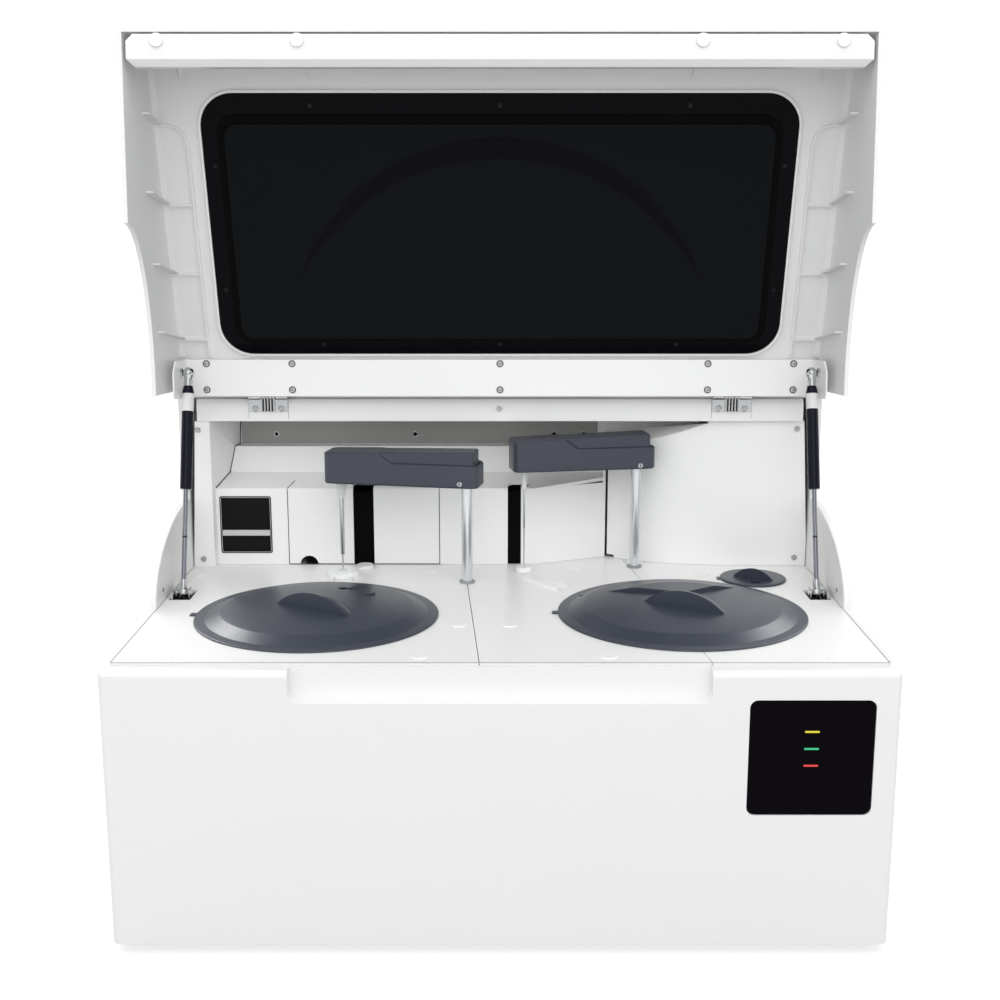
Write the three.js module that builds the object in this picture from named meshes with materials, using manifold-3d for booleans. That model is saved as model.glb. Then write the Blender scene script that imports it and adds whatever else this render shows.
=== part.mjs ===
// Bench-top coagulation analyzer with its lid open.
// X runs to the right, Y from the front face to the back, Z up from the ground, in millimetres.
import * as THREE from "three";
import { mergeVertices } from "three/addons/utils/BufferGeometryUtils.js";
import Module from "manifold-3d";

const wasm = await Module();
wasm.setup();

// Overall sizes. DECK is the height of the deck's top, REAR the height of the rear housing.
const WIDTH = 860;
const DEPTH = 660;
const DECK = 332;
const REAR = 568;

// The layout was measured on a body of this size. Places on the deck follow the real size.
const LAYOUT_WIDTH = 860;
const LAYOUT_DEPTH = 660;
const LAYOUT_DECK = 332;
const LAYOUT_RISE = 236;

// Fits and walls.
const GAP = 0.3; // between pieces that rest on each other
const PLAY = 0.4; // round a moving shaft
const WALL = 4; // moulded covers
const SHEET = 2; // sheet metal
const TINY = 1e-3; // distance under which vertices are one
const OVER = 2; // how far a cutter reaches past the face it cuts
const ROUND = 32; // sides of a large circle
const SMALL_ROUND = 16; // sides of a small circle
const ARC = 5; // steps in a rounded corner

// Fitted diameters that the variation test changes.
const COLUMN_D = 14;
const STRUT_TUBE_D = 15;
const STRUT_ROD_D = 6;
const DISC_R = 146;
const RIGHT_WIDER = 4; // the right disc's radius is larger by this

const FOOT = { d: 34, h: 12, inset: 46, taper: 3 };
const PAN = { inset: 10, floor: 3, rim: 24, post: 26, postInset: 34, wall: 456 };
const FRONT = { ledge: 22.5, drop: 3, round: 8, corner: 8 };
const SCOOP = { w: 454, h: 36, deep: 17, r: 12, wall: 3 };
const PANEL = { x: 335, z: 231.5, w: 135, h: 131, r: 9, t: 3.4, bar: 12, barH: 4, barUp: [30, 11, -8] };
const EAR = { t: 10, from: 222, to: 420, h: 96.5, wallY: 426, below: 10 };
const BACK = { slotW: 60, slotH: 4, pitch: 12, slots: 10, ventX: -215, ventZ: 120, apart: 72 };
const DECKS = { t: 4, side: 10, rear: 496, seam: 0.8, front: 23 };
const SEAMS = {
  left: [-22.4, 23, -43, 346],
  right: [229.4, 21.4, 180, 411],
};
const CAPS = { d: 20, h: 1 };
const CAPS_LEFT = [[-366, 37], [-405, 388], [-48, 161], [-88, 44], [-92, 408]];
const CAPS_MIDDLE = [[11, 161], [119, 44], [102, 422]];
const CAPS_RIGHT = [[270, 388], [398, 379], [367, 37]];
const LEFT_DISC = { x: -220, y: 199, r: DISC_R };
const RIGHT_DISC = { x: 220, y: 208, r: DISC_R + RIGHT_WIDER };
const COVER = {
  t: 2.6, rim: 1.6, ring: 13, ringH: 2.6, shoulder: 33, shoulderH: 11, crown: 70, crownH: 16.5, dome: 18,
  tab: 7, tabW: 10,
};
const GRIP = { x: -3, y: -33, w: 103, h: 20, deep: 25, back: 11, turn: -30, sink: 6 };
const HOLE = { x: 25, y: 62, r: 6.5, ribX: 47, ribY: 56, ribL: 26, ribW: 9, ribH: 5, ribTurn: -50, dip: 5 };
const WEDGE = { x: 5, y: 16, from: 36, to: 160, top: 22, flat: 83, edge: 14, edgeH: 4.5, sink: 1.2 };
const BOWL = { in: 12, t: 3, deep: 96, lip: 5, bore: 15 };
const ROTOR = { in: 7, up: 6, t: 4, hub: 22, rim: 76, fins: 6, fin: 3, shaft: 8, shaftDown: 14 };
const MOTOR = { r: 32, h: 46, bore: 20 };
const SMALL = { x: 335, y: 367, r: 43.5, h: 3, rim: 1.6, well: 6, wellDeep: 52, skirt: 3 };
const SMALL_GRIP = { x: -2, y: -10, w: 54, h: 14, deep: 16, back: 8, turn: -27, sink: 1 };
const SMALL_HOLE = { x: -2, y: -28, r: 6.5 };

// Sampling arms: each has a column, an arm, a probe holder and a needle.
const LEFT_ARM = {
  x: -43, y: 351, turn: 168.6, under: 129, long: 187, tail: 19, w: 46, low: 30, high: 47,
  reach: 170, holderD: 14, holderH: 22, sleeveD: 6, sleeveTo: 30, needleD: 2, tip: 8,
};
const RIGHT_ARM = {
  x: 184, y: 431, turn: 189.8, under: 140, long: 172, tail: 21, w: 46, low: 30, high: 47,
  reach: 154, holderD: 8, holderH: 25, sleeveD: 3, sleeveTo: 60, needleD: 1.8, tip: 8,
};
const ARM = { step: 0.4, slope: 9, narrow: 4, short: 7, fall: 5.5, round: 9, socket: 24 };
const COLUMN = { below: 84, guideD: 19, flangeD: 21, flangeH: 2.5, guideBelow: 70 };
const WASH_LEFT = { d: 43, h: 7.4, bore: 14, well: 20, deep: 92 };
const PRONG = { w: 6, apart: 12, out: 36 };
const PAD = { x: -184, y: 436, d: 22, h: 5, neck: 6 };
const WASH_RIGHT = { d: 22, h: 7.4, bore: 9, well: 15, deep: 92 };
const CHANNEL = { r: [145.5, 165], t: 3, h: 5, from: 200, to: 228 };

// Rear wall behind the deck: pillar, centre box, recess and the curved wall on the right.
const WALLS = {
  face: 444, faceH: 107, bendX: 48, cornerX: 147.5, cornerY: 487, leftX: -391,
  ledgeY: 506, ledgeH: 118, stepH: 155, bandY: 528, pillarY: 430, pillarIn: -390, pillarOut: -419,
  pillarTop: -409.5, sideX: [-388, -380, -371.5, -368, -366],
};
const RIGHT_CURVE = [
  [150.5, 486], [172, 473], [195, 461], [220, 452], [245, 446], [290, 440], [345, 437], [419, 436],
];
const RIGHT_TOP = 409.5;
const RIGHT_CAP = { to: 281, toY: 441, high: 197, low: 160, back: 173.5, backTo: 184.5, front: 12 };
const SLOTS = [
  { x0: -201, x1: -173, y: 461, holeX: -185, w: 38, deep: 16 },
  { x0: 10.6, x1: 28.7, y: 461, holeX: 27, w: 31, deep: 16 },
];
const NOTCH = { x: -263, r: 12.5 };
const SIDE_SLOT = { x0: 144, x1: 160, y0: 474, y1: 500, h1: 4.5 };
const BAND_HOLES = { d: 6, up: 169, xs: [-316, -120, 76, 118] };

// Lid, measured from the hinge axis in its closed pose: y forward is negative.
const HINGE = { y: 428, up: 235, open: 94 };
const LID = {
  rim: 0.5, skirt: 113.3, wall: 5, top: 5, slope: 0.3558, rear: -9, topRear: -8,
  archFrom: 216, archTo: 420, archH: 101.5, round: 12, corner: 14,
};
const WINDOW = { w: 736, long: 338.2, from: 49.2, r: 42, edge: 10, t: 3 };
const RIB = {
  x: 385, t: 2.5, h: 5, clear: 2.006, bend: 26, cross: [86.5, 186, 276.5, 366],
  ledge: 9, down: [55, 79, 87, 102], lean: 0.46, corner: 8,
};
const PANE = { w: 682, long: 281, r: 18, back: 10.5, t: 3 };
const BEAM = { half: 421, gap: 2, deep: 27.5, bevel: 7.5, h: 20, t: 3, up: 1, cut: 8 };
const BUMPER = { d: 17.4, xs: [-386, -228, 228, 386], back: 14, h: 3.2, taper: 1 };
const PLATE = { half: 413, y0: -50, y1: -2, z: -22, tabDown: 75, tabCut: 14 };
const HINGES = { x: 309.5, w: 52, knuckle: 3.6, pin: 2, leafH: 16, leafT: 1.6, middle: 20, reach: 30 };
const HBEAM = { half: 406, y: 428.5, deep: 20, h: 30, t: 3, facet: 8, open: 8 };

// Gas struts. The upper ball is opened: the lid's stud ends beside the socket.
const STRUT = {
  x: 401, y: 286, above: 0.5, ballY: -33.9, ballZ: -59.5, fitting: 17, tube: 133.5, rodEnd: 170,
  pin: 2.5, stud: 4, taper: 1, openY: 85, openZ: 269,
};
const BRACKET = { y0: 267, y1: 313, x0: 389, x1: 415.5, t: 3, beside: 2, down: 40, above: 9, foot: 12 };

const SUPPLY = { x0: 60, x1: 250, y0: 500, y1: 636, h: 86 };
const FAN = { x: -215, z: 430, size: 92, deep: 25, bore: 43, hub: 16, blades: 7, blade: 2, pin: 3 };
const INLET = { x: 300, z: 90, w: 48, h: 28, deep: 22, slot: 24, slotH: 16, flange: 5 };
const SWITCH = { z: 134, w: 26, h: 20, deep: 12, face: 8.4, tip: 6, pivot: 9 };

const S = WIDTH / LAYOUT_WIDTH;
const SY = DEPTH / LAYOUT_DEPTH;
const SZ = (REAR - DECK) / LAYOUT_RISE;
const SR = Math.min(S, SY);
const HALF = WIDTH / 2;
const X = (v) => v * S;
const Y = (v) => v * SY;
const UP = (v) => DECK + v * SZ; // a height above the deck that follows the rear housing
const ON = (v) => DECK + v; // a height above the deck that doesn't
const DEG = Math.PI / 180;

// Geometry to solid. A surface whose faces point inwards is turned round.
function solid(geometry) {
  const g = geometry.clone();
  g.deleteAttribute("normal");
  g.deleteAttribute("uv");
  const merged = mergeVertices(g, TINY);
  const p = merged.attributes.position.array;
  const t = new Uint32Array(merged.index.array);
  let six = 0;
  for (let i = 0; i < t.length; i += 3) {
    const [a, b, c] = [t[i] * 3, t[i + 1] * 3, t[i + 2] * 3];
    six += p[a] * (p[b + 1] * p[c + 2] - p[b + 2] * p[c + 1]);
    six += p[a + 1] * (p[b + 2] * p[c] - p[b] * p[c + 2]);
    six += p[a + 2] * (p[b] * p[c + 1] - p[b + 1] * p[c]);
  }
  if (six < 0) for (let i = 0; i < t.length; i += 3) [t[i + 1], t[i + 2]] = [t[i + 2], t[i + 1]];
  return new wasm.Manifold(new wasm.Mesh({ numProp: 3, vertProperties: p, triVerts: t }));
}

// A wall of flat facets that meet in the first of its corners, thickened towards low X.
function fan(points, t) {
  const n = points.length;
  const both = [...points, ...points.map(([x, y, z]) => [x - t, y, z])];
  const index = [];
  for (let i = 1; i < n - 1; i += 1) index.push(0, i, i + 1, n, n + i + 1, n + i);
  for (let i = 0; i < n; i += 1) {
    const j = (i + 1) % n;
    index.push(i, n + i, j, j, n + i, n + j);
  }
  const g = new THREE.BufferGeometry();
  g.setAttribute("position", new THREE.Float32BufferAttribute(both.flat(), 3));
  g.setIndex(index);
  return solid(g);
}

function box(x0, x1, y0, y1, z0, z1) {
  const g = new THREE.BoxGeometry(x1 - x0, y1 - y0, z1 - z0);
  return solid(g.translate((x0 + x1) / 2, (y0 + y1) / 2, (z0 + z1) / 2));
}

const shapeOf = (points) => new THREE.Shape(points.map(([a, b]) => new THREE.Vector2(a, b)));

// A closed outline in X and Y, raised from z0 to z1.
function plan(outline, z0, z1) {
  const shape = Array.isArray(outline) ? shapeOf(outline) : outline;
  const g = new THREE.ExtrudeGeometry(shape, { depth: z1 - z0, bevelEnabled: false, curveSegments: ARC });
  return solid(g.translate(0, 0, z0));
}

// A closed outline in Y and Z, drawn along X.
function across(outline, x0, x1) {
  const shape = Array.isArray(outline) ? shapeOf(outline) : outline;
  const g = new THREE.ExtrudeGeometry(shape, { depth: x1 - x0, bevelEnabled: false, curveSegments: ARC });
  const turn = new THREE.Matrix4().makeBasis(
    new THREE.Vector3(0, 1, 0), new THREE.Vector3(0, 0, 1), new THREE.Vector3(1, 0, 0),
  );
  return solid(g.applyMatrix4(turn).translate(x0, 0, 0));
}

// A closed outline in X and Z, drawn along Y.
function backward(outline, y0, y1) {
  const shape = Array.isArray(outline) ? shapeOf(outline) : outline;
  const g = new THREE.ExtrudeGeometry(shape, { depth: y1 - y0, bevelEnabled: false, curveSegments: ARC });
  const turn = new THREE.Matrix4().makeBasis(
    new THREE.Vector3(1, 0, 0), new THREE.Vector3(0, 0, 1), new THREE.Vector3(0, -1, 0),
  );
  return solid(g.applyMatrix4(turn).translate(0, y1, 0));
}

// A rounded rectangle about a centre.
function rounded(cx, cy, w, h, r) {
  const s = new THREE.Shape();
  const [x, y] = [cx - w / 2, cy - h / 2];
  s.moveTo(x + r, y);
  s.lineTo(x + w - r, y);
  s.absarc(x + w - r, y + r, r, -Math.PI / 2, 0);
  s.lineTo(x + w, y + h - r);
  s.absarc(x + w - r, y + h - r, r, 0, Math.PI / 2);
  s.lineTo(x + r, y + h);
  s.absarc(x + r, y + h - r, r, Math.PI / 2, Math.PI);
  s.lineTo(x, y + r);
  s.absarc(x + r, y + r, r, Math.PI, Math.PI * 1.5);
  return s;
}

// A cylinder or cone that stands on a point.
function post(x, y, z0, z1, r0, r1 = r0, sides = SMALL_ROUND) {
  const g = new THREE.CylinderGeometry(r1, r0, z1 - z0, sides).rotateX(Math.PI / 2);
  return solid(g.translate(x, y, (z0 + z1) / 2));
}

// A cylinder along X.
function bar(x0, x1, y, z, r, sides = SMALL_ROUND) {
  const g = new THREE.CylinderGeometry(r, r, x1 - x0, sides).rotateZ(Math.PI / 2);
  return solid(g.translate((x0 + x1) / 2, y, z));
}

// A cylinder along Y.
function pipe(y0, y1, x, z, r, sides = SMALL_ROUND) {
  return solid(new THREE.CylinderGeometry(r, r, y1 - y0, sides).translate(x, (y0 + y1) / 2, z));
}

// A profile of radius and height, turned about a vertical axis.
function turned(profile, x, y, sides = ROUND) {
  const g = new THREE.LatheGeometry(profile.map(([r, z]) => new THREE.Vector2(r, z)), sides);
  return solid(g.rotateX(Math.PI / 2).translate(x, y, 0));
}

// A solid given as a matrix move of another.
function moved(s, { about = [0, 0, 0], z = 0, x = 0 }) {
  const [ax, ay, az] = about;
  return s.translate([-ax, -ay, -az]).rotate([x, 0, z]).translate([ax, ay, az]);
}

const ordered = (a, b) => [Math.min(a, b), Math.max(a, b)];
const union = (list) => list.reduce((a, b) => a.add(b));
const less = (a, list) => list.reduce((s, b) => s.subtract(b), a);

const part = new THREE.Group();
part.name = "coagulation_analyzer";
part.position.set(0, -DEPTH / 2, 0);

function add(name, s, colour, roughness, metalness = 0) {
  const m = s.getMesh();
  const g = new THREE.BufferGeometry();
  g.setAttribute("position", new THREE.BufferAttribute(m.vertProperties, m.numProp));
  g.setIndex(new THREE.BufferAttribute(m.triVerts, 1));
  g.computeVertexNormals();
  const mesh = new THREE.Mesh(g, new THREE.MeshStandardMaterial({ color: colour, roughness, metalness }));
  mesh.name = name;
  part.add(mesh);
}

const WHITE = 0xe9e8e4;
const GREY = 0xc9cbcd;
const SLATE = 0x454954;
const DARK = 0x202225;
const STEEL = 0xb9bcc0;
const BLACK = 0x111214;

// Feet: four short rubber cones under the pan, near its corners.
const pan0 = FOOT.h;
const footX = HALF - FOOT.inset;
const footY = [FOOT.inset, DEPTH - FOOT.inset];
[["foot_front_left", -footX, footY[0]], ["foot_front_right", footX, footY[0]],
  ["foot_rear_left", -footX, footY[1]], ["foot_rear_right", footX, footY[1]]].forEach(([name, x, y]) => {
  add(name, post(x, y, 0, pan0 - GAP, FOOT.d / 2 - FOOT.taper, FOOT.d / 2), DARK, 0.9);
});

// Pan: the floor with a rim, four corner posts and a cross wall under the back of the deck.
const under = DECK - DECKS.t - GAP;
const panX = HALF - PAN.inset;
const panY = [PAN.inset, DEPTH - PAN.inset];
const rim = box(-panX, panX, panY[0], panY[1], pan0, pan0 + PAN.rim).subtract(
  box(-panX + SHEET, panX - SHEET, panY[0] + SHEET, panY[1] - SHEET, pan0 + PAN.floor, DECK),
);
const posts = [];
for (const sx of [-1, 1]) {
  const x = sx * (HALF - PAN.postInset);
  const y = PAN.postInset + PAN.post / 2;
  const outer = box(x - PAN.post / 2, x + PAN.post / 2, y - PAN.post / 2, y + PAN.post / 2, pan0, under);
  posts.push(outer.subtract(box(
    x - PAN.post / 2 + SHEET, x + PAN.post / 2 - SHEET,
    y - PAN.post / 2 + SHEET, y + PAN.post, pan0 + PAN.floor, DECK,
  )));
}
const crossY = Y(PAN.wall);
posts.push(box(-panX + PAN.post, panX - PAN.post, crossY, crossY + SHEET, pan0, under));
add("base_pan", union([rim, ...posts]), GREY, 0.5, 0.6);

// Front cover: a shell with a rounded top edge, a scoop for the fingers and a window for the panel.
const ledge = DECK - FRONT.drop;
const fr = FRONT.round;
const edge = [[FRONT.ledge, pan0], [FRONT.ledge, ledge]];
for (let i = 0; i <= ARC; i += 1) {
  const a = Math.PI / 2 + (i / ARC) * (Math.PI / 2);
  edge.push([fr + fr * Math.cos(a), ledge - fr + fr * Math.sin(a)]);
}
edge.push([0, pan0]);
const body = rounded(0, DEPTH / 2, WIDTH, DEPTH, FRONT.corner);
const shell = across(edge, -HALF, HALF).intersect(plan(body, 0, DECK));
const hollow = box(-HALF + WALL, HALF - WALL, WALL, FRONT.ledge + OVER, 0, ledge - WALL);
const scoopW = X(SCOOP.w);
const pocket = box(
  -scoopW / 2 - SCOOP.wall, scoopW / 2 + SCOOP.wall, OVER, FRONT.ledge,
  ledge - SCOOP.h - SCOOP.wall, ledge - WALL + OVER / 2,
);
const scoop = backward(rounded(0, ledge, scoopW, SCOOP.h * 2, SCOOP.r), -OVER, SCOOP.deep);
const panelX = X(PANEL.x);
const panelZ = (PANEL.z / LAYOUT_DECK) * DECK;
const panelHole = backward(
  rounded(panelX, panelZ, PANEL.w + GAP * 2, PANEL.h + GAP * 2, PANEL.r), -OVER, WALL + OVER,
);
const front = shell.subtract(hollow).add(pocket).subtract(scoop).subtract(panelHole);
add("front_cover", front, WHITE, 0.45);

// Indicator panel: a gloss plate in the window with three small raised bars.
const bars = PANEL.barUp.map((up) => box(
  panelX - PANEL.bar / 2, panelX + PANEL.bar / 2, 0, PANEL.t,
  panelZ + up - PANEL.barH / 2, panelZ + up + PANEL.barH / 2,
));
const plate = backward(rounded(panelX, panelZ, PANEL.w, PANEL.h, PANEL.r), GAP, PANEL.t);
add("indicator_panel", union([plate, ...bars]), BLACK, 0.08);

// Side covers: thin below, thicker along the deck and in the ear that rises to the rear housing.
const earFrom = Y(EAR.from);
const earTo = Y(EAR.to);
const earH = EAR.h * SZ;
const earWall = Y(EAR.wallY);
const sideEnd = DEPTH - WALL - GAP;
const sideOutline = (bottom) => {
  const points = [[DECKS.front, bottom], [sideEnd, bottom], [sideEnd, REAR], [earWall, REAR]];
  points.push([earWall, DECK + earH]);
  for (let i = 0; i <= ARC * 2; i += 1) {
    const a = Math.PI / 2 + (i / (ARC * 2)) * (Math.PI / 2);
    points.push([earTo + (earTo - earFrom) * Math.cos(a), ledge + (earH + FRONT.drop) * Math.sin(a)]);
  }
  points.push([DECKS.front, ledge]);
  return points;
};
for (const [name, s] of [["left_side_cover", -1], ["right_side_cover", 1]]) {
  const at = (x) => ordered(s * HALF, s * x);
  const thin = across(sideOutline(pan0), ...at(HALF - WALL));
  const thick = across(sideOutline(ledge - EAR.below), ...at(HALF - EAR.t));
  add(name, thin.add(thick), WHITE, 0.45);
}

// Rear cover: a flat plate with vent slots, a round fan opening and holes for the inlet and the switch.
const backY = [DEPTH - WALL, DEPTH];
const fanX = X(FAN.x);
const fanZ = UP(FAN.z - LAYOUT_DECK);
const cuts = [];
for (let i = 0; i < BACK.slots; i += 1) {
  const z = BACK.ventZ + i * BACK.pitch;
  for (const side of [-1, 1]) {
    const x = X(BACK.ventX) + (side * BACK.apart) / 2;
    cuts.push(box(
      x - BACK.slotW / 2, x + BACK.slotW / 2, backY[0] - OVER, backY[1] + OVER, z, z + BACK.slotH,
    ));
  }
}
const grille = less(pipe(backY[0] - OVER, backY[1] + OVER, fanX, fanZ, FAN.bore), [
  box(fanX - FAN.bore, fanX + FAN.bore, backY[0] - OVER, backY[1] + OVER, fanZ - SHEET, fanZ + SHEET),
  box(fanX - SHEET, fanX + SHEET, backY[0] - OVER, backY[1] + OVER, fanZ - FAN.bore, fanZ + FAN.bore),
  pipe(backY[0] - OVER, backY[1] + OVER, fanX, fanZ, FAN.hub),
]);
const inletX = X(INLET.x);
const inletHole = box(
  inletX - INLET.w / 2, inletX + INLET.w / 2, backY[0] - OVER, backY[1] + OVER,
  INLET.z - INLET.h / 2, INLET.z + INLET.h / 2,
);
const switchHole = box(
  inletX - SWITCH.w / 2 - GAP, inletX + SWITCH.w / 2 + GAP, backY[0] - OVER, backY[1] + OVER,
  SWITCH.z - SWITCH.h / 2 - GAP, SWITCH.z + SWITCH.h / 2 + GAP,
);
const backPlate = box(-HALF, HALF, backY[0], backY[1], pan0, REAR);
add("rear_cover", less(backPlate, [...cuts, grille, inletHole, switchHole]), WHITE, 0.45);

// Top of the rear housing, between the ears and behind the hinge beam's front edge.
const housing = HALF - EAR.t - GAP;
const beamY = Y(HBEAM.y);
const topY = [beamY + HBEAM.open, backY[0] - GAP];
add("rear_top_cover", box(-housing, housing, ...topY, REAR - WALL, REAR), WHITE, 0.45);

// Hinge beam: a steel channel that carries the lid's hinges.
const beamTop = REAR - WALL - GAP;
const beam0 = beamTop - HBEAM.h;
const beamX = X(HBEAM.half);
const channel = across([
  [beamY, beam0], [beamY + HBEAM.deep, beam0], [beamY + HBEAM.deep, beamTop],
  [beamY + HBEAM.facet / 2, beamTop], [beamY, beamTop - HBEAM.facet],
], -beamX, beamX);
const inside = box(
  -beamX - OVER, beamX + OVER, beamY + HBEAM.t, beamY + HBEAM.deep + OVER,
  beam0 + HBEAM.t, beamTop - HBEAM.t - HBEAM.facet,
);
const hingeY = Y(HINGE.y);
const hingeZ = UP(HINGE.up);
add("hinge_beam", channel.subtract(inside), WHITE, 0.4, 0.2);

// Deck panels: three plates that meet on slanted seams, with wells, slots and screw caps.
const deck0 = DECK - DECKS.t;
const deckX = HALF - DECKS.side - GAP;
const deckY = [DECKS.front, Y(DECKS.rear)];
const seamAt = ([xa, ya, xb, yb], y) => X(xa + ((y / SY - ya) / (yb - ya)) * (xb - xa));
const half = DECKS.seam / 2;
const outline = (left, right) => [
  [left(deckY[0]), deckY[0]], [right(deckY[0]), deckY[0]],
  [right(deckY[1]), deckY[1]], [left(deckY[1]), deckY[1]],
];
const leftSeam = (y) => seamAt(SEAMS.left, y);
const rightSeam = (y) => seamAt(SEAMS.right, y);
const wellR = (d) => (d.r - BOWL.in) * SR;
const discs = [LEFT_DISC, RIGHT_DISC];
const arms = [LEFT_ARM, RIGHT_ARM];
const deckCuts = discs.map((d) => post(X(d.x), Y(d.y), deck0 - OVER, DECK + OVER, wellR(d), wellR(d), ROUND));
deckCuts.push(post(X(SMALL.x), Y(SMALL.y), deck0 - OVER, DECK + OVER, (SMALL.r - SMALL.well) * SR));
arms.forEach((a) => {
  deckCuts.push(post(X(a.x), Y(a.y), deck0 - OVER, DECK + OVER, COLUMN.guideD / 2 + GAP));
});
const probeAt = (a) => [
  X(a.x) + a.reach * Math.cos(a.turn * DEG),
  Y(a.y) + a.reach * Math.sin(a.turn * DEG),
];
const [leftTip, rightTip] = arms.map(probeAt);
deckCuts.push(post(...leftTip, deck0 - OVER, DECK + OVER, WASH_LEFT.well / 2 + GAP));
deckCuts.push(post(...rightTip, deck0 - OVER, DECK + OVER, WASH_RIGHT.well / 2 + GAP));
const bracketX = HALF - (LAYOUT_WIDTH / 2 - BRACKET.x1);
const bracketIn = bracketX - (BRACKET.x1 - BRACKET.x0);
for (const s of [-1, 1]) {
  const xs = ordered(s * bracketIn, s * bracketX);
  deckCuts.push(box(...xs, Y(BRACKET.y0), Y(BRACKET.y1), deck0 - OVER, DECK + OVER));
}
const capR = CAPS.d / 2;
const caps = (list) => list.map(([x, y]) => post(X(x), Y(y), deck0 + OVER, ON(CAPS.h), capR, capR, ARC * 2));
const panels = {
  deck_left: [outline(() => -deckX, (y) => leftSeam(y) - half), CAPS_LEFT],
  deck_middle: [outline((y) => leftSeam(y) + half, (y) => rightSeam(y) - half), CAPS_MIDDLE],
  deck_right: [outline((y) => rightSeam(y) + half, () => deckX), CAPS_RIGHT],
};
const ridge = (r) => {
  const c = [X(RIGHT_ARM.x), Y(RIGHT_ARM.y)];
  const pts = [];
  for (const [rad, a0, a1] of [
    [r + CHANNEL.t / 2, CHANNEL.from, CHANNEL.to], [r - CHANNEL.t / 2, CHANNEL.to, CHANNEL.from],
  ]) {
    for (let i = 0; i <= ARC; i += 1) {
      const a = (a0 + ((a1 - a0) * i) / ARC) * DEG;
      pts.push([c[0] + rad * Math.cos(a), c[1] + rad * Math.sin(a)]);
    }
  }
  return plan(pts, deck0 + OVER, ON(CHANNEL.h));
};
for (const [name, [shape, list]] of Object.entries(panels)) {
  let s = less(union([plan(shape, deck0, DECK), ...caps(list)]), deckCuts);
  if (name === "deck_middle") s = union([s, ...CHANNEL.r.map(ridge)]);
  add(name, s, WHITE, 0.4);
}

// Bowls: round wells under the discs, each with a floor and a hole for the shaft.
discs.forEach((d, i) => {
  const name = ["left", "right"][i];
  const [x, y, r] = [X(d.x), Y(d.y), wellR(d)];
  const floor = deck0 - BOWL.deep;
  add(`bowl_${name}`, turned([
    [BOWL.bore, floor], [r - BOWL.t, floor], [r - BOWL.t, deck0 - GAP - BOWL.t],
    [r + BOWL.lip, deck0 - GAP - BOWL.t], [r + BOWL.lip, deck0 - GAP], [r - BOWL.t * 2, deck0 - GAP],
    [r - BOWL.t * 2, floor + BOWL.t], [BOWL.bore, floor + BOWL.t], [BOWL.bore, floor],
  ], x, y), GREY, 0.4, 0.5);

  // Turntable: a disc with a hub and radial walls that part it into wedge-shaped places.
  const z = floor + BOWL.t + ROTOR.up;
  const rr = r - BOWL.t * 2 - ROTOR.in;
  const rotor = [
    post(x, y, z, z + ROTOR.t, rr, rr, ROUND),
    post(x, y, z, z + ROTOR.rim, ROTOR.hub * SR),
    post(x, y, floor - ROTOR.shaftDown, z + ROTOR.t / 2, ROTOR.shaft),
  ];
  for (let k = 0; k < ROTOR.fins; k += 1) {
    const t = ROTOR.fin / 2;
    const fin = box(x, x + rr - ROTOR.fin, y - t, y + t, z + ROTOR.t / 2, z + ROTOR.rim);
    rotor.push(moved(fin, { about: [x, y, 0], z: (k * 360) / ROTOR.fins }));
  }
  add(`turntable_${name}`, union(rotor), GREY, 0.5);

  const top = floor - GAP;
  const motor = post(x, y, top - MOTOR.h, top, MOTOR.r, MOTOR.r, SMALL_ROUND).subtract(
    post(x, y, top - MOTOR.bore, top + OVER, ROTOR.shaft + PLAY),
  );
  add(`turntable_motor_${name}`, motor, DARK, 0.5, 0.5);
});

// A grip whose flat face is an arch of width w and height h. Behind it the top falls away to a round back.
function archGrip(g, x, y, z) {
  const w = g.w * SR;
  const rise = g.h + g.sink;
  const rad = (w * w / 4 + g.h * g.h) / (2 * g.h);
  const half = Math.asin(w / 2 / rad);
  const face = [[w / 2, 0], [w / 2, g.sink]];
  for (let i = 1; i < ARC * 2; i += 1) {
    const a = half - (i / ARC) * half;
    face.push([rad * Math.sin(a), rise - rad + rad * Math.cos(a)]);
  }
  face.push([-w / 2, g.sink], [-w / 2, 0]);
  const deep = g.deep * SR;
  const back = [[w / 2, 0]];
  for (let i = 1; i < ARC * 2; i += 1) {
    const a = (i / (ARC * 2)) * Math.PI;
    back.push([(w / 2) * Math.cos(a), deep * Math.sqrt(Math.sin(a))]);
  }
  back.push([-w / 2, 0]);
  const fall = across([[0, 0], [deep, 0], [deep, g.sink + g.back], [0, rise]], -w / 2, w / 2);
  const grip = backward(face, 0, deep).intersect(plan(back, 0, rise)).intersect(fall);
  return grip.rotate([0, 0, g.turn]).translate([x + g.x * SR, y + g.y * SR, z - g.sink]);
}

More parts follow.
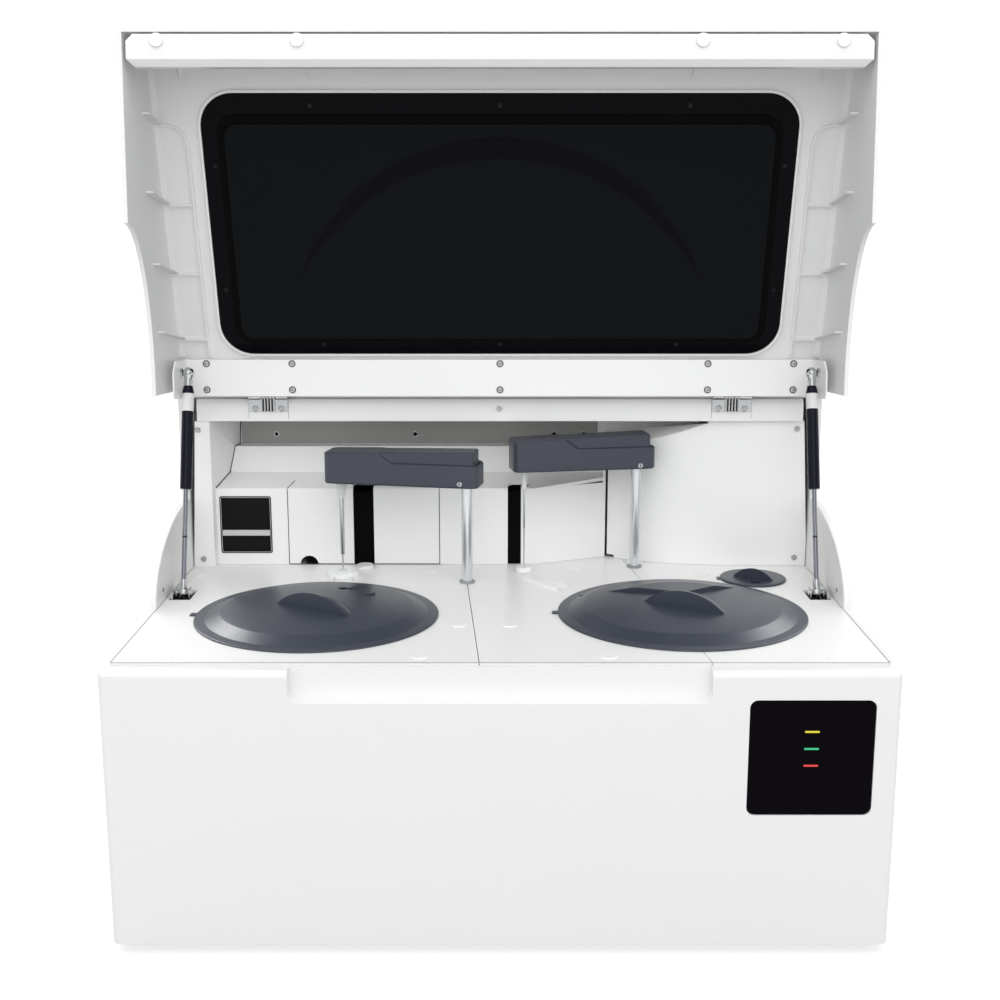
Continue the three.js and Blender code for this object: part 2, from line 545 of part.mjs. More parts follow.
// Disc covers: shallow domed lids with a half-moon grip and a small tab on the left.
const domeAt = (r, z, c) => [
  [0, z + c.dome], [r - c.crown, z + c.crownH], [r - c.shoulder, z + c.shoulderH], [r - c.ring, z + c.ringH],
];
function discCover(d) {
  const [x, y, r] = [X(d.x), Y(d.y), d.r * SR];
  const c = COVER;
  const z = DECK + GAP;
  const top = domeAt(r, z, c);
  const low = domeAt(r, z - c.t, c).slice(0, -1).reverse();
  const dome = turned([...top, [r - c.rim, z + c.rim], [r, z], [r - c.ring - c.t, z], ...low], x, y);
  const tab = box(x - r - c.tab, x - r + c.ring, y - c.tabW / 2, y + c.tabW / 2, z, z + c.rim);
  return [union([dome, tab, archGrip(GRIP, x, y, z + c.crownH)]), x, y, z];
}
{
  const [s, x, y, z] = discCover(LEFT_DISC);
  const h = HOLE;
  const hole = post(x + h.x * SR, y + h.y * SR, z - OVER, z + COVER.dome + OVER, h.r);
  // The rib beside the hole has a hollow top.
  const ribZ = z + COVER.shoulderH;
  const long = h.ribL / 2;
  const rib = backward([
    [-long, 0], [long, 0], [long, h.ribH], [long / 2, h.ribH + h.dip / 2], [-long / 2, h.ribH + h.dip / 2],
    [-long, h.ribH + h.dip],
  ], -h.ribW / 2, h.ribW / 2);
  const placed = rib.rotate([0, 0, h.ribTurn]).translate([x + h.ribX * SR, y + h.ribY * SR, ribZ]);
  add("disc_cover_left", s.add(placed).subtract(hole), SLATE, 0.55);
}
{
  const [s, x, y, z] = discCover(RIGHT_DISC);
  // The rear sector stands a step higher, behind a bent wall, and runs out to the ring.
  const r = RIGHT_DISC.r * SR;
  const w = WEDGE;
  const high = turned([
    [0, z + w.top], [r - w.flat, z + w.top], [r - w.edge, z + w.edgeH],
    ...domeAt(r, z - w.sink, COVER).reverse(),
  ], x, y);
  const sector = [[w.x * SR, w.y * SR]];
  for (let i = 0; i <= ARC; i += 1) {
    const a = (w.from + ((w.to - w.from) * i) / ARC) * DEG;
    sector.push([r * Math.cos(a), r * Math.sin(a)]);
  }
  const raised = high.intersect(plan(sector, z, z + w.top + OVER).translate([x, y, 0]));
  add("disc_cover_right", s.add(raised), SLATE, 0.55);
}

// Small cover with a half-moon grip over its own well.
{
  const [x, y, r] = [X(SMALL.x), Y(SMALL.y), SMALL.r * SR];
  const z = DECK + GAP;
  const wr = (SMALL.r - SMALL.well) * SR;
  const ringIn = wr - BOWL.t - GAP;
  const lid = turned([
    [0, z + SMALL.h], [r - SMALL.rim, z + SMALL.h], [r, z + SMALL.rim], [r, z], [ringIn, z],
    [ringIn, z - SMALL.skirt], [0, z - SMALL.skirt],
  ], x, y);
  const grip = archGrip(SMALL_GRIP, x, y, z + SMALL.h);
  const tabY = [y - COVER.tabW / 2, y + COVER.tabW / 2];
  const tab = box(x - r - COVER.tab / 2, x - r + OVER, ...tabY, z, z + SMALL.rim);
  const [hx, hy] = [x + SMALL_HOLE.x * SR, y + SMALL_HOLE.y * SR];
  const hole = post(hx, hy, z - SMALL.skirt - OVER, z + SMALL.h + OVER, SMALL_HOLE.r);
  add("small_cover", union([lid, grip, tab]).subtract(hole), SLATE, 0.55);
  const floor = deck0 - SMALL.wellDeep;
  const brim = deck0 - GAP;
  add("small_well", turned([
    [0, floor], [wr, floor], [wr, brim - BOWL.t], [wr + BOWL.lip, brim - BOWL.t], [wr + BOWL.lip, brim],
    [wr - BOWL.t, brim], [wr - BOWL.t, floor + BOWL.t], [0, floor + BOWL.t],
  ], x, y, SMALL_ROUND), GREY, 0.4, 0.5);
}

// Arms. The column slides in a guide; the arm turns on the column and holds the probe.
const columnR = COLUMN_D / 2;
arms.forEach((a, i) => {
  const side = ["left", "right"][i];
  const [x, y] = [X(a.x), Y(a.y)];
  const armZ = ON(a.under);
  const guideR = Math.max(COLUMN.guideD / 2, columnR + PLAY + SHEET);
  add(`column_guide_${side}`, less(union([
    post(x, y, deck0 - COLUMN.guideBelow, ON(COLUMN.flangeH), COLUMN.guideD / 2),
    post(x, y, DECK + GAP, ON(COLUMN.flangeH), guideR + (COLUMN.flangeD - COLUMN.guideD) / 2),
  ]), [post(x, y, 0, REAR, columnR + PLAY)]), DARK, 0.4, 0.4);
  add(`column_${side}`, post(x, y, deck0 - COLUMN.below, armZ + ARM.socket - GAP, columnR), STEEL, 0.2, 1);

  // The arm's cover is drawn along +X from its tail and then turned to its place.
  const [t0, t1] = [-a.tail, a.long];
  const w = a.w;
  const stepX = t1 - (t1 - t0) * ARM.step;
  const topOf = (x) => a.high - (ARM.fall * (x - t0)) / (t1 - t0);
  const [stepLow, stepHigh] = [stepX - ARM.slope, stepX + ARM.slope];
  const side0 = [
    [t0, 0], [t1, 0], [t1, topOf(t1)], [stepHigh, topOf(stepHigh)], [stepLow, a.low], [t0, a.low],
  ];
  const lower = backward(side0, -w / 2, w / 2);
  const [from, to] = [t0 + ARM.short, t1 - ARM.narrow];
  const upper = backward([
    [from, 0], [to, 0], [to, topOf(to)], [from, topOf(from)],
  ], -w / 2 + ARM.narrow, w / 2 - ARM.narrow);
  const around = plan(rounded((t0 + t1) / 2, 0, t1 - t0, w, ARM.round), 0, a.high);
  const socket = post(0, 0, -OVER, ARM.socket, columnR + PLAY);
  const cover = lower.add(upper).intersect(around).subtract(socket);
  add(`arm_cover_${side}`, cover.rotate([0, 0, a.turn]).translate([x, y, armZ]), SLATE, 0.4);

  const [px, py] = probeAt(a);
  const top = armZ - GAP;
  const hr = a.holderD / 2;
  const bore = a.sleeveD / 2;
  add(`probe_holder_${side}`, turned([
    [bore + GAP, top], [hr, top], [hr, top - a.holderH / 2], [bore + OVER, top - a.holderH],
    [bore + GAP, top - a.holderH], [bore + GAP, top],
  ], px, py, SMALL_ROUND), WHITE, 0.4);
  add(`needle_${side}`, turned([
    [0, top], [bore, top], [bore, ON(a.sleeveTo)], [a.needleD / 2, ON(a.sleeveTo) - bore],
    [a.needleD / 2, ON(a.tip) + OVER], [0, ON(a.tip)],
  ], px, py, ARC * 2), STEEL, 0.2, 1);
});

// Wash stations: a deep tube under each needle, with a collar on the deck.
{
  const [x, y] = leftTip;
  const c = WASH_LEFT;
  const z0 = DECK + GAP;
  const ring = post(x, y, z0, ON(c.h), c.d / 2, c.d / 2, ROUND);
  const well = post(x, y, deck0 - c.deep, ON(c.h), c.well / 2);
  const prongs = [-1, 1].map((side) => x + side * PRONG.apart).map((middle) => box(
    middle - PRONG.w / 2, middle + PRONG.w / 2, y - PRONG.out, y, z0, ON(PAD.h),
  ));
  const padY = Y(PAD.y) - PAD.d / 2;
  const pad = post(X(PAD.x), padY, z0, ON(PAD.h), PAD.d / 2);
  const bridge = plan([
    [x, y - PAD.neck], [X(PAD.x), padY - PAD.d / 2], [X(PAD.x), padY + PAD.d / 2 - OVER], [x, y + PAD.neck],
  ], z0, ON(PAD.h));
  const bore = post(x, y, deck0 - c.deep + OVER, ON(c.h) + OVER, c.bore / 2);
  add("wash_station_left", union([ring, well, ...prongs, pad, bridge]).subtract(bore), WHITE, 0.4);
}
{
  const [x, y] = rightTip;
  const c = WASH_RIGHT;
  const cup = union([
    post(x, y, DECK + GAP, ON(c.h), c.d / 2), post(x, y, deck0 - c.deep, ON(c.h), c.well / 2),
  ]);
  add("wash_station_right", cup.subtract(
    post(x, y, deck0 - c.deep + OVER, ON(c.h) + OVER, c.bore / 2, c.bore / 2, ARC * 2),
  ), WHITE, 0.4);
}

// Rear wall: the left pillar, the centre box with its ledge, and the recess above it.
{
  const w = WALLS;
  const z0 = DECK + GAP;
  const top = beam0 - GAP;
  const t = WALL;
  const pillar = backward([
    [X(w.pillarOut), z0], [X(w.pillarIn), z0], [X(w.pillarIn), top], [X(w.pillarTop), top],
  ], Y(w.pillarY), Y(w.pillarY) + t);
  const fy = Y(w.face);
  const cy = Y(w.cornerY);
  const by = Y(w.bandY);
  const ly = Y(w.ledgeY);
  const faceTop = UP(w.faceH);
  const bx = X(w.bendX);
  const cx = X(w.cornerX);
  const lx = X(w.leftX);
  const face = plan([[lx, fy], [bx, fy], [cx, cy], [cx, cy + t], [bx, fy + t], [lx, fy + t]], z0, faceTop);
  const above = plan([[lx, fy], [bx, fy], [cx, cy], [cx, by + t], [lx, by + t]], 0, REAR);
  const ledgeTop = UP(w.ledgeH);
  const shelf = across([
    [fy, faceTop - t], [ly + t, ledgeTop - t], [ly + t, ledgeTop], [ly, ledgeTop], [fy, faceTop],
  ], lx, cx).intersect(above);
  const stepTop = UP(w.stepH);
  const capX = X(RIGHT_CAP.to);
  const riser = box(lx, cx, ly, ly + t, ledgeTop - t, stepTop);
  const tread = box(lx, cx, ly, by + t, stepTop - t, stepTop);
  const band = box(lx + t, capX, by, by + t, stepTop - t, REAR - WALL - GAP);
  const endWall = box(cx - t, cx, cy, by + t, z0, UP(RIGHT_CAP.back) - t);

  // The recess ends on the left in a wall of flat facets that meet in the pillar's upper corner.
  const apex = [X(w.pillarIn), Y(w.pillarY), top];
  const foot = [X(w.pillarIn), Y(w.pillarY), z0];
  const places = [[fy, faceTop], [ly, ledgeTop], [ly, stepTop], [by, stepTop], [by, top + t / 2]];
  const edge = w.sideX.map((x, i) => [X(x), places[i][0] + t / 2, places[i][1] - t / 2]);
  const sideWall = fan([apex, foot, [edge[0][0], fy + t / 2, z0], ...edge], t);
  const through = [fy - OVER, fy + t + OVER];
  const slots = [
    ...SLOTS.map((s) => box(X(s.x0), X(s.x1), fy - OVER, Y(s.y), DECK - OVER, ledgeTop)),
    ...SLOTS.map((s) => plan(
      rounded(X(s.holeX), Y(s.y), s.w, s.deep, s.deep / 2 - GAP), faceTop - t, ledgeTop,
    )),
    pipe(...through, X(NOTCH.x), DECK, NOTCH.r),
    ...BAND_HOLES.xs.map((x) => pipe(by - OVER, by + t + OVER, X(x), UP(BAND_HOLES.up), BAND_HOLES.d / 2)),
  ];
  const walls = union([pillar, face, shelf, riser, tread, band, endWall, sideWall]);
  add("rear_wall", less(walls, slots), WHITE, 0.45);

  // Right wall: one sheet that curves forward from the corner of the recess, with a sloping cap.
  const curve = RIGHT_CURVE.map(([x, y]) => [X(x), Y(y)]);
  const last = curve[curve.length - 1];
  const behind = curve.slice(0, -1).reverse().map(([x, y]) => [x + GAP, y + t]);
  const sheet = plan([...curve, [last[0], last[1] + t], ...behind], z0, top);
  const past = last[0] + WALL * 2;
  const slant = backward([
    [X(RIGHT_TOP), top + OVER], [X(RIGHT_TOP), top], [last[0] + OVER, z0], [past, z0], [past, top + OVER],
  ], last[1] - OVER * 2, last[1] + t * 2);
  const eye = box(X(SIDE_SLOT.x0), X(SIDE_SLOT.x1), Y(SIDE_SLOT.y0), Y(SIDE_SLOT.y1), 0, UP(SIDE_SLOT.h1));
  const r = RIGHT_CAP;
  const sides = [[X(w.cornerX), capX], [cy, Y(r.toY)]];
  const cap = [
    [sides[0][0], sides[1][0], UP(r.low)], [sides[0][1], sides[1][1], UP(r.high)],
    [sides[0][0], by, UP(r.back)], [sides[0][1], by, UP(r.backTo)],
  ];
  const tilt = (UP(r.back) - UP(r.low)) / (by - cy);
  const front = cap.slice(0, 2).map(([x, y, z]) => [x, y - r.front, z - r.front * tilt]);
  const under = curve.filter(([x]) => x < capX);
  const inPlan = plan([...under, [capX, Y(r.toY)], [capX, by - GAP], [under[0][0], by - GAP]], 0, REAR);
  const slope = [...cap, ...front];
  const capSheet = wasm.Manifold.hull(slope.flatMap(([x, y, z]) => [[x, y, z], [x, y, z - t]]));
  const over = wasm.Manifold.hull(slope.flatMap(([x, y, z]) => [[x, y, z], [x, y, z + REAR]]));
  const wall = less(sheet, [slant, eye, over]).add(capSheet.intersect(inPlan));
  add("right_wall", wall, WHITE, 0.45);
}

// Lid: drawn closed about the hinge axis and opened at the end.
const opened = (s) => s.rotate([-HINGE.open, 0, 0]).translate([0, hingeY, hingeZ]);
const lidFront = -hingeY;
const rimZ = DECK + LID.rim - hingeZ;
const cornerZ = rimZ + LID.skirt * SZ;
const lidSlope = (LID.slope * SZ) / SY;
const topAt = (y) => cornerZ + (y - lidFront) * lidSlope;
const arch = (inset) => {
  const pts = [];
  const [c, a] = [Y(LID.archTo) - hingeY, Y(LID.archTo) - Y(LID.archFrom) + inset];
  for (let i = 0; i <= ARC * 2; i += 1) {
    const t = Math.PI - (i / (ARC * 2)) * (Math.PI / 2);
    const y = c + a * Math.cos(t);
    if (y > LID.rear) break;
    pts.push([y, rimZ + (LID.archH * SZ - LID.rim) * Math.sin(t)]);
  }
  return pts;
};
{
  const curve = arch(0);
  const end = curve[curve.length - 1];
  const r = LID.round;
  const outer = [[lidFront, rimZ], ...curve, [LID.rear, end[1]]];
  outer.push([LID.rear, topAt(LID.rear) - LID.top]);
  outer.push([LID.topRear, topAt(LID.topRear) - LID.top]);
  outer.push([LID.topRear, topAt(LID.topRear)]);
  outer.push([lidFront + r, topAt(lidFront + r)]);
  for (let i = 1; i < ARC; i += 1) {
    const a = (i / ARC) * (Math.PI / 2);
    outer.push([lidFront + r - r * Math.sin(a), topAt(lidFront + r) - r * (1 - Math.cos(a))]);
  }
  const wide = across(outer, -HALF, HALF);
  const footprint = rounded(0, 0, WIDTH, -lidFront * 2, LID.corner);
  const trimmed = wide.intersect(plan(footprint, rimZ - OVER, topAt(0) + OVER));
  const y0 = lidFront + LID.wall;
  const inner = across([
    [y0, rimZ - OVER], [OVER, rimZ - OVER], [OVER, topAt(OVER) - LID.top], [y0, topAt(y0) - LID.top],
  ], -HALF + LID.wall, HALF - LID.wall);
  // The window's own frame: s runs up the slope from the front inner corner, n points out of the lid.
  const tilt = Math.atan(lidSlope) / DEG;
  const place = (s) => s.rotate([tilt, 0, 0]).translate([0, y0, topAt(y0) - LID.top]);
  const wl = Y(WINDOW.long);
  const ww = X(WINDOW.w);
  const mid = Y(WINDOW.from) + wl / 2;
  const e = WINDOW.edge;
  const thick = LID.top * Math.cos(tilt * DEG);
  const hole = rounded(0, mid, ww - 2 * e, wl - 2 * e, WINDOW.r - e);
  const opening = place(plan(hole, -OVER * 2, thick + OVER * 2));
  // Ribs: one along each side of the window, which bends outward at its front end, and three that cross
  // from it to the side wall. Each goes on down the wall as a ledge that leans forward.
  const side = HALF - LID.wall;
  const rx = HALF - (LAYOUT_WIDTH / 2 - RIB.x);
  const first = Y(RIB.cross[0]);
  const sink = RIB.h * Math.sin(tilt * DEG);
  const last = (PLATE.y0 - RIB.clear - sink - y0) / Math.cos(tilt * DEG);
  const bend = (r) => {
    const pts = [];
    for (let i = 0; i <= ARC; i += 1) {
      const a = Math.PI * (1 + i / (2 * ARC));
      pts.push([rx + RIB.bend + r * Math.cos(a), first + RIB.bend + r * Math.sin(a)]);
    }
    return pts;
  };
  const along = [[rx, last], ...bend(RIB.bend), [side + OVER, first], [side + OVER, first + RIB.t]];
  along.push(...bend(RIB.bend - RIB.t).reverse(), [rx + RIB.t, last]);
  const ribs = [];
  for (const s of [-1, 1]) {
    const hull = (points) => ribs.push(place(wasm.Manifold.hull(points.map(([x, y, z]) => [s * x, y, z]))));
    ribs.push(place(plan(along.map(([x, y]) => [s * x, y]), -RIB.h, OVER)));
    const sheet = (x0, ys, deep, lean) => hull(
      ys.flatMap((y) => [x0, side + OVER].flatMap((x) => [[x, y, OVER], [x, y - lean, -deep]])),
    );
    RIB.cross.forEach((c, i) => {
      const ys = [Y(c), Y(c) + RIB.t];
      const down = RIB.down[i] * SZ;
      if (i > 0) sheet(rx, ys, RIB.h, 0);
      sheet(side - RIB.ledge, ys, down, down * RIB.lean);
    });
    const corner = [[side - RIB.corner, OVER], [side + OVER, OVER], [side + OVER, -RIB.corner]];
    hull([-OVER, last].flatMap((y) => corner.map(([x, z]) => [x, y, z])));
  }
  add("lid_shell", opened(union([trimmed.subtract(inner).subtract(opening), ...ribs])), WHITE, 0.4);

  const g2 = 2 * (e + GAP);
  const pane = plan(rounded(0, mid, ww - g2, wl - g2, WINDOW.r - e), -WINDOW.t, thick - GAP);
  const flange = plan(rounded(0, mid, ww, wl, WINDOW.r), -WINDOW.t - GAP, -GAP);
  const raise = rounded(0, mid + PANE.back, X(PANE.w), Y(PANE.long), PANE.r);
  const step = plan(raise, -WINDOW.t - PANE.t, -WINDOW.t);
  add("lid_window", opened(place(union([pane, flange, step]))), BLACK, 0.05);
}

// Front beam inside the lid's rim, a folded channel with four rubber bumpers under it.
{
  const b = BEAM;
  const y0 = lidFront + LID.wall + b.gap;
  const [y1, y2] = [y0 + b.deep, y0 + b.deep + b.bevel];
  const z = rimZ + b.up;
  const section = (t) => [
    [y0 + t, z + t], [y1 - t, z + t], [y2 - t, z + b.bevel + t], [y2 - t, z + b.h + t], [y0 + t, z + b.h + t],
  ];
  const hx = HALF - (LAYOUT_WIDTH / 2 - b.half);
  const ends = plan([
    [-hx + b.cut, y0], [hx - b.cut, y0], [hx, y0 + b.cut], [hx, y1], [hx - b.cut, y2], [-hx + b.cut, y2],
    [-hx, y1], [-hx, y0 + b.cut],
  ], z, z + b.h);
  const trough = across(section(0), -hx, hx).subtract(across(section(b.t), -hx + b.cut, hx - b.cut));
  const bumpers = BUMPER.xs.map((x) => post(
    X(x), lidFront + BUMPER.back, z - BUMPER.h, z + OVER, BUMPER.d / 2 - BUMPER.taper, BUMPER.d / 2,
  ));
  add("lid_front_beam", opened(union([trough.intersect(ends), ...bumpers])), WHITE, 0.45);
}

// Hinge plate: sheet steel across the lid, with a flange to the lid's top and a tab at each end.
const strutX = HALF - (LAYOUT_WIDTH / 2 - STRUT.x);
{
  const p = PLATE;
  const hx = HALF - (LAYOUT_WIDTH / 2 - p.half);
  const sheet = box(-hx, hx, p.y0, p.y1, p.z - SHEET, p.z);
  const flange = box(-hx, hx, p.y0, p.y0 + SHEET, p.z - SHEET, topAt(p.y0) - LID.top - GAP);
  const tab = (s) => {
    const [foot, c] = [p.z - p.tabDown, p.tabCut];
    const full = across([
      [p.y0, p.z], [p.y0, foot + c], [p.y0 + c, foot],
      [p.y1 - c / 2, foot], [p.y1, foot + c / 2], [p.y1, p.z],
    ], ...ordered(s * (hx - SHEET), s * hx));
    const studIn = s * (strutX + STRUT_TUBE_D / 2 + GAP);
    return full.add(bar(...ordered(studIn, s * (hx - SHEET / 2)), STRUT.ballY, STRUT.ballZ, STRUT.stud));
  };
  add("lid_hinge_plate", opened(union([sheet, flange, tab(-1), tab(1)])), WHITE, 0.4, 0.2);
}

// Hinges: a leaf with knuckle and pin on the beam, and a bent leaf on the hinge plate.
for (const [side, s] of [["left", -1], ["right", 1]]) {
  const h = HINGES;
  const x = s * X(h.x);
  const [x0, x1] = [x - h.w / 2, x + h.w / 2];
  const leafY = beamY - GAP - h.leafT;
  const leafTop = hingeZ - h.knuckle - GAP;
  const leaf = box(x0, x1, leafY, beamY - GAP, leafTop - h.leafH, leafTop);
  const neck = box(x - h.middle / 2, x + h.middle / 2, leafY, beamY - GAP, leafTop - OVER, hingeZ);
  const knuckle = bar(x - h.middle / 2, x + h.middle / 2, hingeY, hingeZ, h.knuckle);
  const joint = box(x - h.middle / 2, x + h.middle / 2, hingeY, beamY - GAP, hingeZ - h.leafT, hingeZ);
  const pin = bar(x0, x1, hingeY, hingeZ, h.pin, ARC * 2);
  add(`hinge_leaf_${side}`, union([leaf, neck, knuckle, joint, pin]), STEEL, 0.3, 1);

  // The lid's leaf is drawn closed: from the knuckles down to the plate, then forward along it.
  const up = PLATE.z + GAP;
  const legY = PLATE.y1 - OVER;
  const ends = [[x0, x - h.middle / 2 - GAP], [x + h.middle / 2 + GAP, x1]].map(([a, b]) => union([
    bar(a, b, 0, 0, h.knuckle),
    box(a, b, legY - h.leafT, 0, -h.leafT / 2, h.leafT / 2),
    box(a, b, legY - h.leafT, legY, up, h.leafT),
  ]));
  const foot = box(x0, x1, legY - h.reach, legY, up, up + h.leafT);
  const bores = bar(x0 - OVER, x1 + OVER, 0, 0, h.pin + PLAY, ARC * 2);
  add(`hinge_lid_leaf_${side}`, opened(union([...ends, foot]).subtract(bores)), STEEL, 0.3, 1);
}

// Gas struts, drawn upright along Z from the lower pivot and then tilted to the upper ball.
const openAngle = -HINGE.open * DEG;
const ball = {
  y: hingeY + STRUT.ballY * Math.cos(openAngle) - STRUT.ballZ * Math.sin(openAngle),
  z: hingeZ + STRUT.ballY * Math.sin(openAngle) + STRUT.ballZ * Math.cos(openAngle),
};
const pivot = { y: Y(STRUT.y), z: deck0 + STRUT.above + STRUT_TUBE_D / 2 };
const span = Math.hypot(ball.y - pivot.y, ball.z - pivot.z);
const lean = Math.atan2(ball.y - pivot.y, ball.z - pivot.z) / DEG;
const stretch = span / Math.hypot(STRUT.openY, STRUT.openZ);
for (const [side, s] of [["left", -1], ["right", 1]]) {
  const x = s * strutX;
  const c = STRUT;
  const er = STRUT_TUBE_D / 2;
  const rodR = STRUT_ROD_D / 2;
  const stand = (piece) => piece.rotate([-lean, 0, 0]).translate([x, pivot.y, pivot.z]);
  const eye = (z) => bar(-er, er, 0, z, er);
  const rod = less(union([
    eye(0), post(0, 0, 0, c.fitting, er - c.taper), post(0, 0, c.fitting - OVER, c.rodEnd * stretch, rodR),
  ]), [bar(-er * 2, er * 2, 0, 0, c.pin + PLAY, ARC * 2)]);
  add(`strut_rod_${side}`, stand(rod), STEEL, 0.15, 1);

  const top = span - c.fitting;
  const bottom = top - c.tube * stretch;
  const tube = union([
    post(0, 0, bottom, top, er), post(0, 0, top - OVER, span, er - c.taper), eye(span),
  ]).subtract(post(0, 0, bottom - OVER, top - er, rodR + PLAY));
  add(`strut_tube_${side}`, stand(tube), GREY, 0.4);

  // Bracket under the deck: an upright plate with the pivot pin and a foot below the deck panel.
  const b = BRACKET;
  const px = strutX + er + b.beside;
  const at = (a0, a1) => ordered(s * a0, s * a1);
  const [y0, y1] = [Y(b.y0) + OVER, Y(b.y1) - OVER];
  const upright = box(...at(px, px + b.t), y0, y1, deck0 - b.down, ON(b.above));
  const foot = box(...at(px - b.t, HALF - EAR.t - OVER), y0, y1 + b.foot, deck0 - b.t - GAP, deck0 - GAP);
  const pin = bar(...at(strutX - er, px + OVER), pivot.y, pivot.z, c.pin, ARC * 2);
  add(`strut_bracket_${side}`, union([upright, foot, pin]), STEEL, 0.35, 0.9);
}

// Inside the rear housing: power supply on the floor, fan on the rear cover, inlet and switch.
const floorZ = pan0 + PAN.floor + GAP;
const supplyY = [Y(SUPPLY.y0), DEPTH - (LAYOUT_DEPTH - SUPPLY.y1)];
const supplyX = [X(SUPPLY.x0), X(SUPPLY.x1)];
add("power_supply", box(...supplyX, ...supplyY, floorZ, floorZ + SUPPLY.h), GREY, 0.4, 0.8);

const fanY1 = backY[0] - GAP;
const fanY0 = fanY1 - FAN.deep;
const strip = 2 * SHEET;
const fanHalf = FAN.size / 2;
const fanBox = box(fanX - fanHalf, fanX + fanHalf, fanY0, fanY1, fanZ - fanHalf, fanZ + fanHalf);
const fanFrame = fanBox.subtract(pipe(fanY0 - OVER, fanY1 + OVER, fanX, fanZ, FAN.bore, ROUND));
const spider = box(
  fanX - FAN.bore - OVER, fanX + FAN.bore + OVER, fanY0, fanY0 + strip, fanZ - strip / 2, fanZ + strip / 2,
);
const spindle = pipe(fanY0, fanY0 + FAN.deep / 2, fanX, fanZ, FAN.pin);
add("fan_frame", union([fanFrame, spider, spindle]), DARK, 0.6);

const rotorY = [fanY0 + strip + SHEET, fanY1 - SHEET];
const blades = [];
for (let k = 0; k < FAN.blades; k += 1) {
  const a = (k * 360) / FAN.blades;
  const [inner, outer] = [FAN.hub - OVER, FAN.bore - OVER];
  const leaf = box(inner, outer, rotorY[0] + SHEET, rotorY[1] - SHEET, -FAN.blade / 2, FAN.blade / 2);
  blades.push(leaf.rotate([0, a, 0]).translate([fanX, 0, fanZ]));
}
const rotorHub = pipe(rotorY[0], rotorY[1], fanX, fanZ, FAN.hub);
const rotorBore = pipe(rotorY[0] - OVER, fanY0 + FAN.deep / 2 + SHEET, fanX, fanZ, FAN.pin + PLAY);
add("fan_rotor", union([rotorHub, ...blades]).subtract(rotorBore), DARK, 0.6);

const iy0 = backY[0] - INLET.deep;
const inletBody = box(
  inletX - INLET.w / 2 + GAP, inletX + INLET.w / 2 - GAP, iy0, backY[1],
  INLET.z - INLET.h / 2 + GAP, INLET.z + INLET.h / 2 - GAP,
);
const inletSocket = box(
  inletX - INLET.slot / 2, inletX + INLET.slot / 2, iy0 + INLET.flange, backY[1] + OVER,
  INLET.z - INLET.slotH / 2, INLET.z + INLET.slotH / 2,
);
add("mains_inlet", inletBody.subtract(inletSocket), BLACK, 0.5);

// Rocker switch: a wedge that tips about a line across its middle. At rest its lower half is pressed in.
const sw = SWITCH;
const rocker = across([
  [-sw.deep + sw.pivot, -sw.h / 4], [sw.pivot - SHEET, -sw.face], [sw.pivot - SHEET / 2, 0],
  [sw.pivot - SHEET, sw.face], [-sw.deep + sw.pivot, sw.h / 4],
], inletX - sw.w / 2 + GAP, inletX + sw.w / 2 - GAP);
add("power_switch", rocker.rotate([-sw.tip, 0, 0]).translate([0, DEPTH - sw.pivot, sw.z]), BLACK, 0.4);

export default part;
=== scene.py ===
import bpy
from math import asin, cos, hypot, radians, sin, sqrt
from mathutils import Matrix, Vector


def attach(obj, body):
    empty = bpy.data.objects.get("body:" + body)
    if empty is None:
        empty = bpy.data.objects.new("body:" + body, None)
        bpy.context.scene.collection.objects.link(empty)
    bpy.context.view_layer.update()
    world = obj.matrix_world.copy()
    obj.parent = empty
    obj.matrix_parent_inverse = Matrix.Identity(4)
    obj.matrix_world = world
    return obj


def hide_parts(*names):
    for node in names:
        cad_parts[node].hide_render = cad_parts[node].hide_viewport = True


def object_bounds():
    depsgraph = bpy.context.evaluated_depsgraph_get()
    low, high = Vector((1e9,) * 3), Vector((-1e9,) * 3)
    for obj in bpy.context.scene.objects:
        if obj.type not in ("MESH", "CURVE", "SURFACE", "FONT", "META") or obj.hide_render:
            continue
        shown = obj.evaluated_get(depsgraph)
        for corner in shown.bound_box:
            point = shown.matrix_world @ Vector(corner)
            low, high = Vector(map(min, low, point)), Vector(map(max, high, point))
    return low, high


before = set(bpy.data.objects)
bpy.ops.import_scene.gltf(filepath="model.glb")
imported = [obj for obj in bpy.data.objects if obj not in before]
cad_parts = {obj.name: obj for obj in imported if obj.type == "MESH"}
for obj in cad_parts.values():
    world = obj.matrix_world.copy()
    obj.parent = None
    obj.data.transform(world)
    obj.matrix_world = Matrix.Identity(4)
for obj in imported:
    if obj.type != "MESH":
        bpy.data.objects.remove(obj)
cad_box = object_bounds()

# The studio: a pale floor that curves up into a backdrop, a white surround and soft lamps.
# The camera stands where the photograph was taken from, a little above the deck.
FLOOR_SIZE, FLOOR_REAR, BACKDROP_HIGH, SWEEP = 9, 4, 5, 2.2
bpy.ops.mesh.primitive_plane_add(size=FLOOR_SIZE, location=(0, 0.5, 0))
floor = bpy.context.object
floor.name = "studio_floor"


def alone(piece):
    """Selects one piece and nothing else."""
    bpy.ops.object.select_all(action="DESELECT")
    piece.select_set(True)
    bpy.context.view_layer.objects.active = piece


def settled(piece):
    """Puts the place, turn and size of a piece into its mesh."""
    alone(piece)
    bpy.ops.object.transform_apply(location=True, rotation=True, scale=True)
    return piece


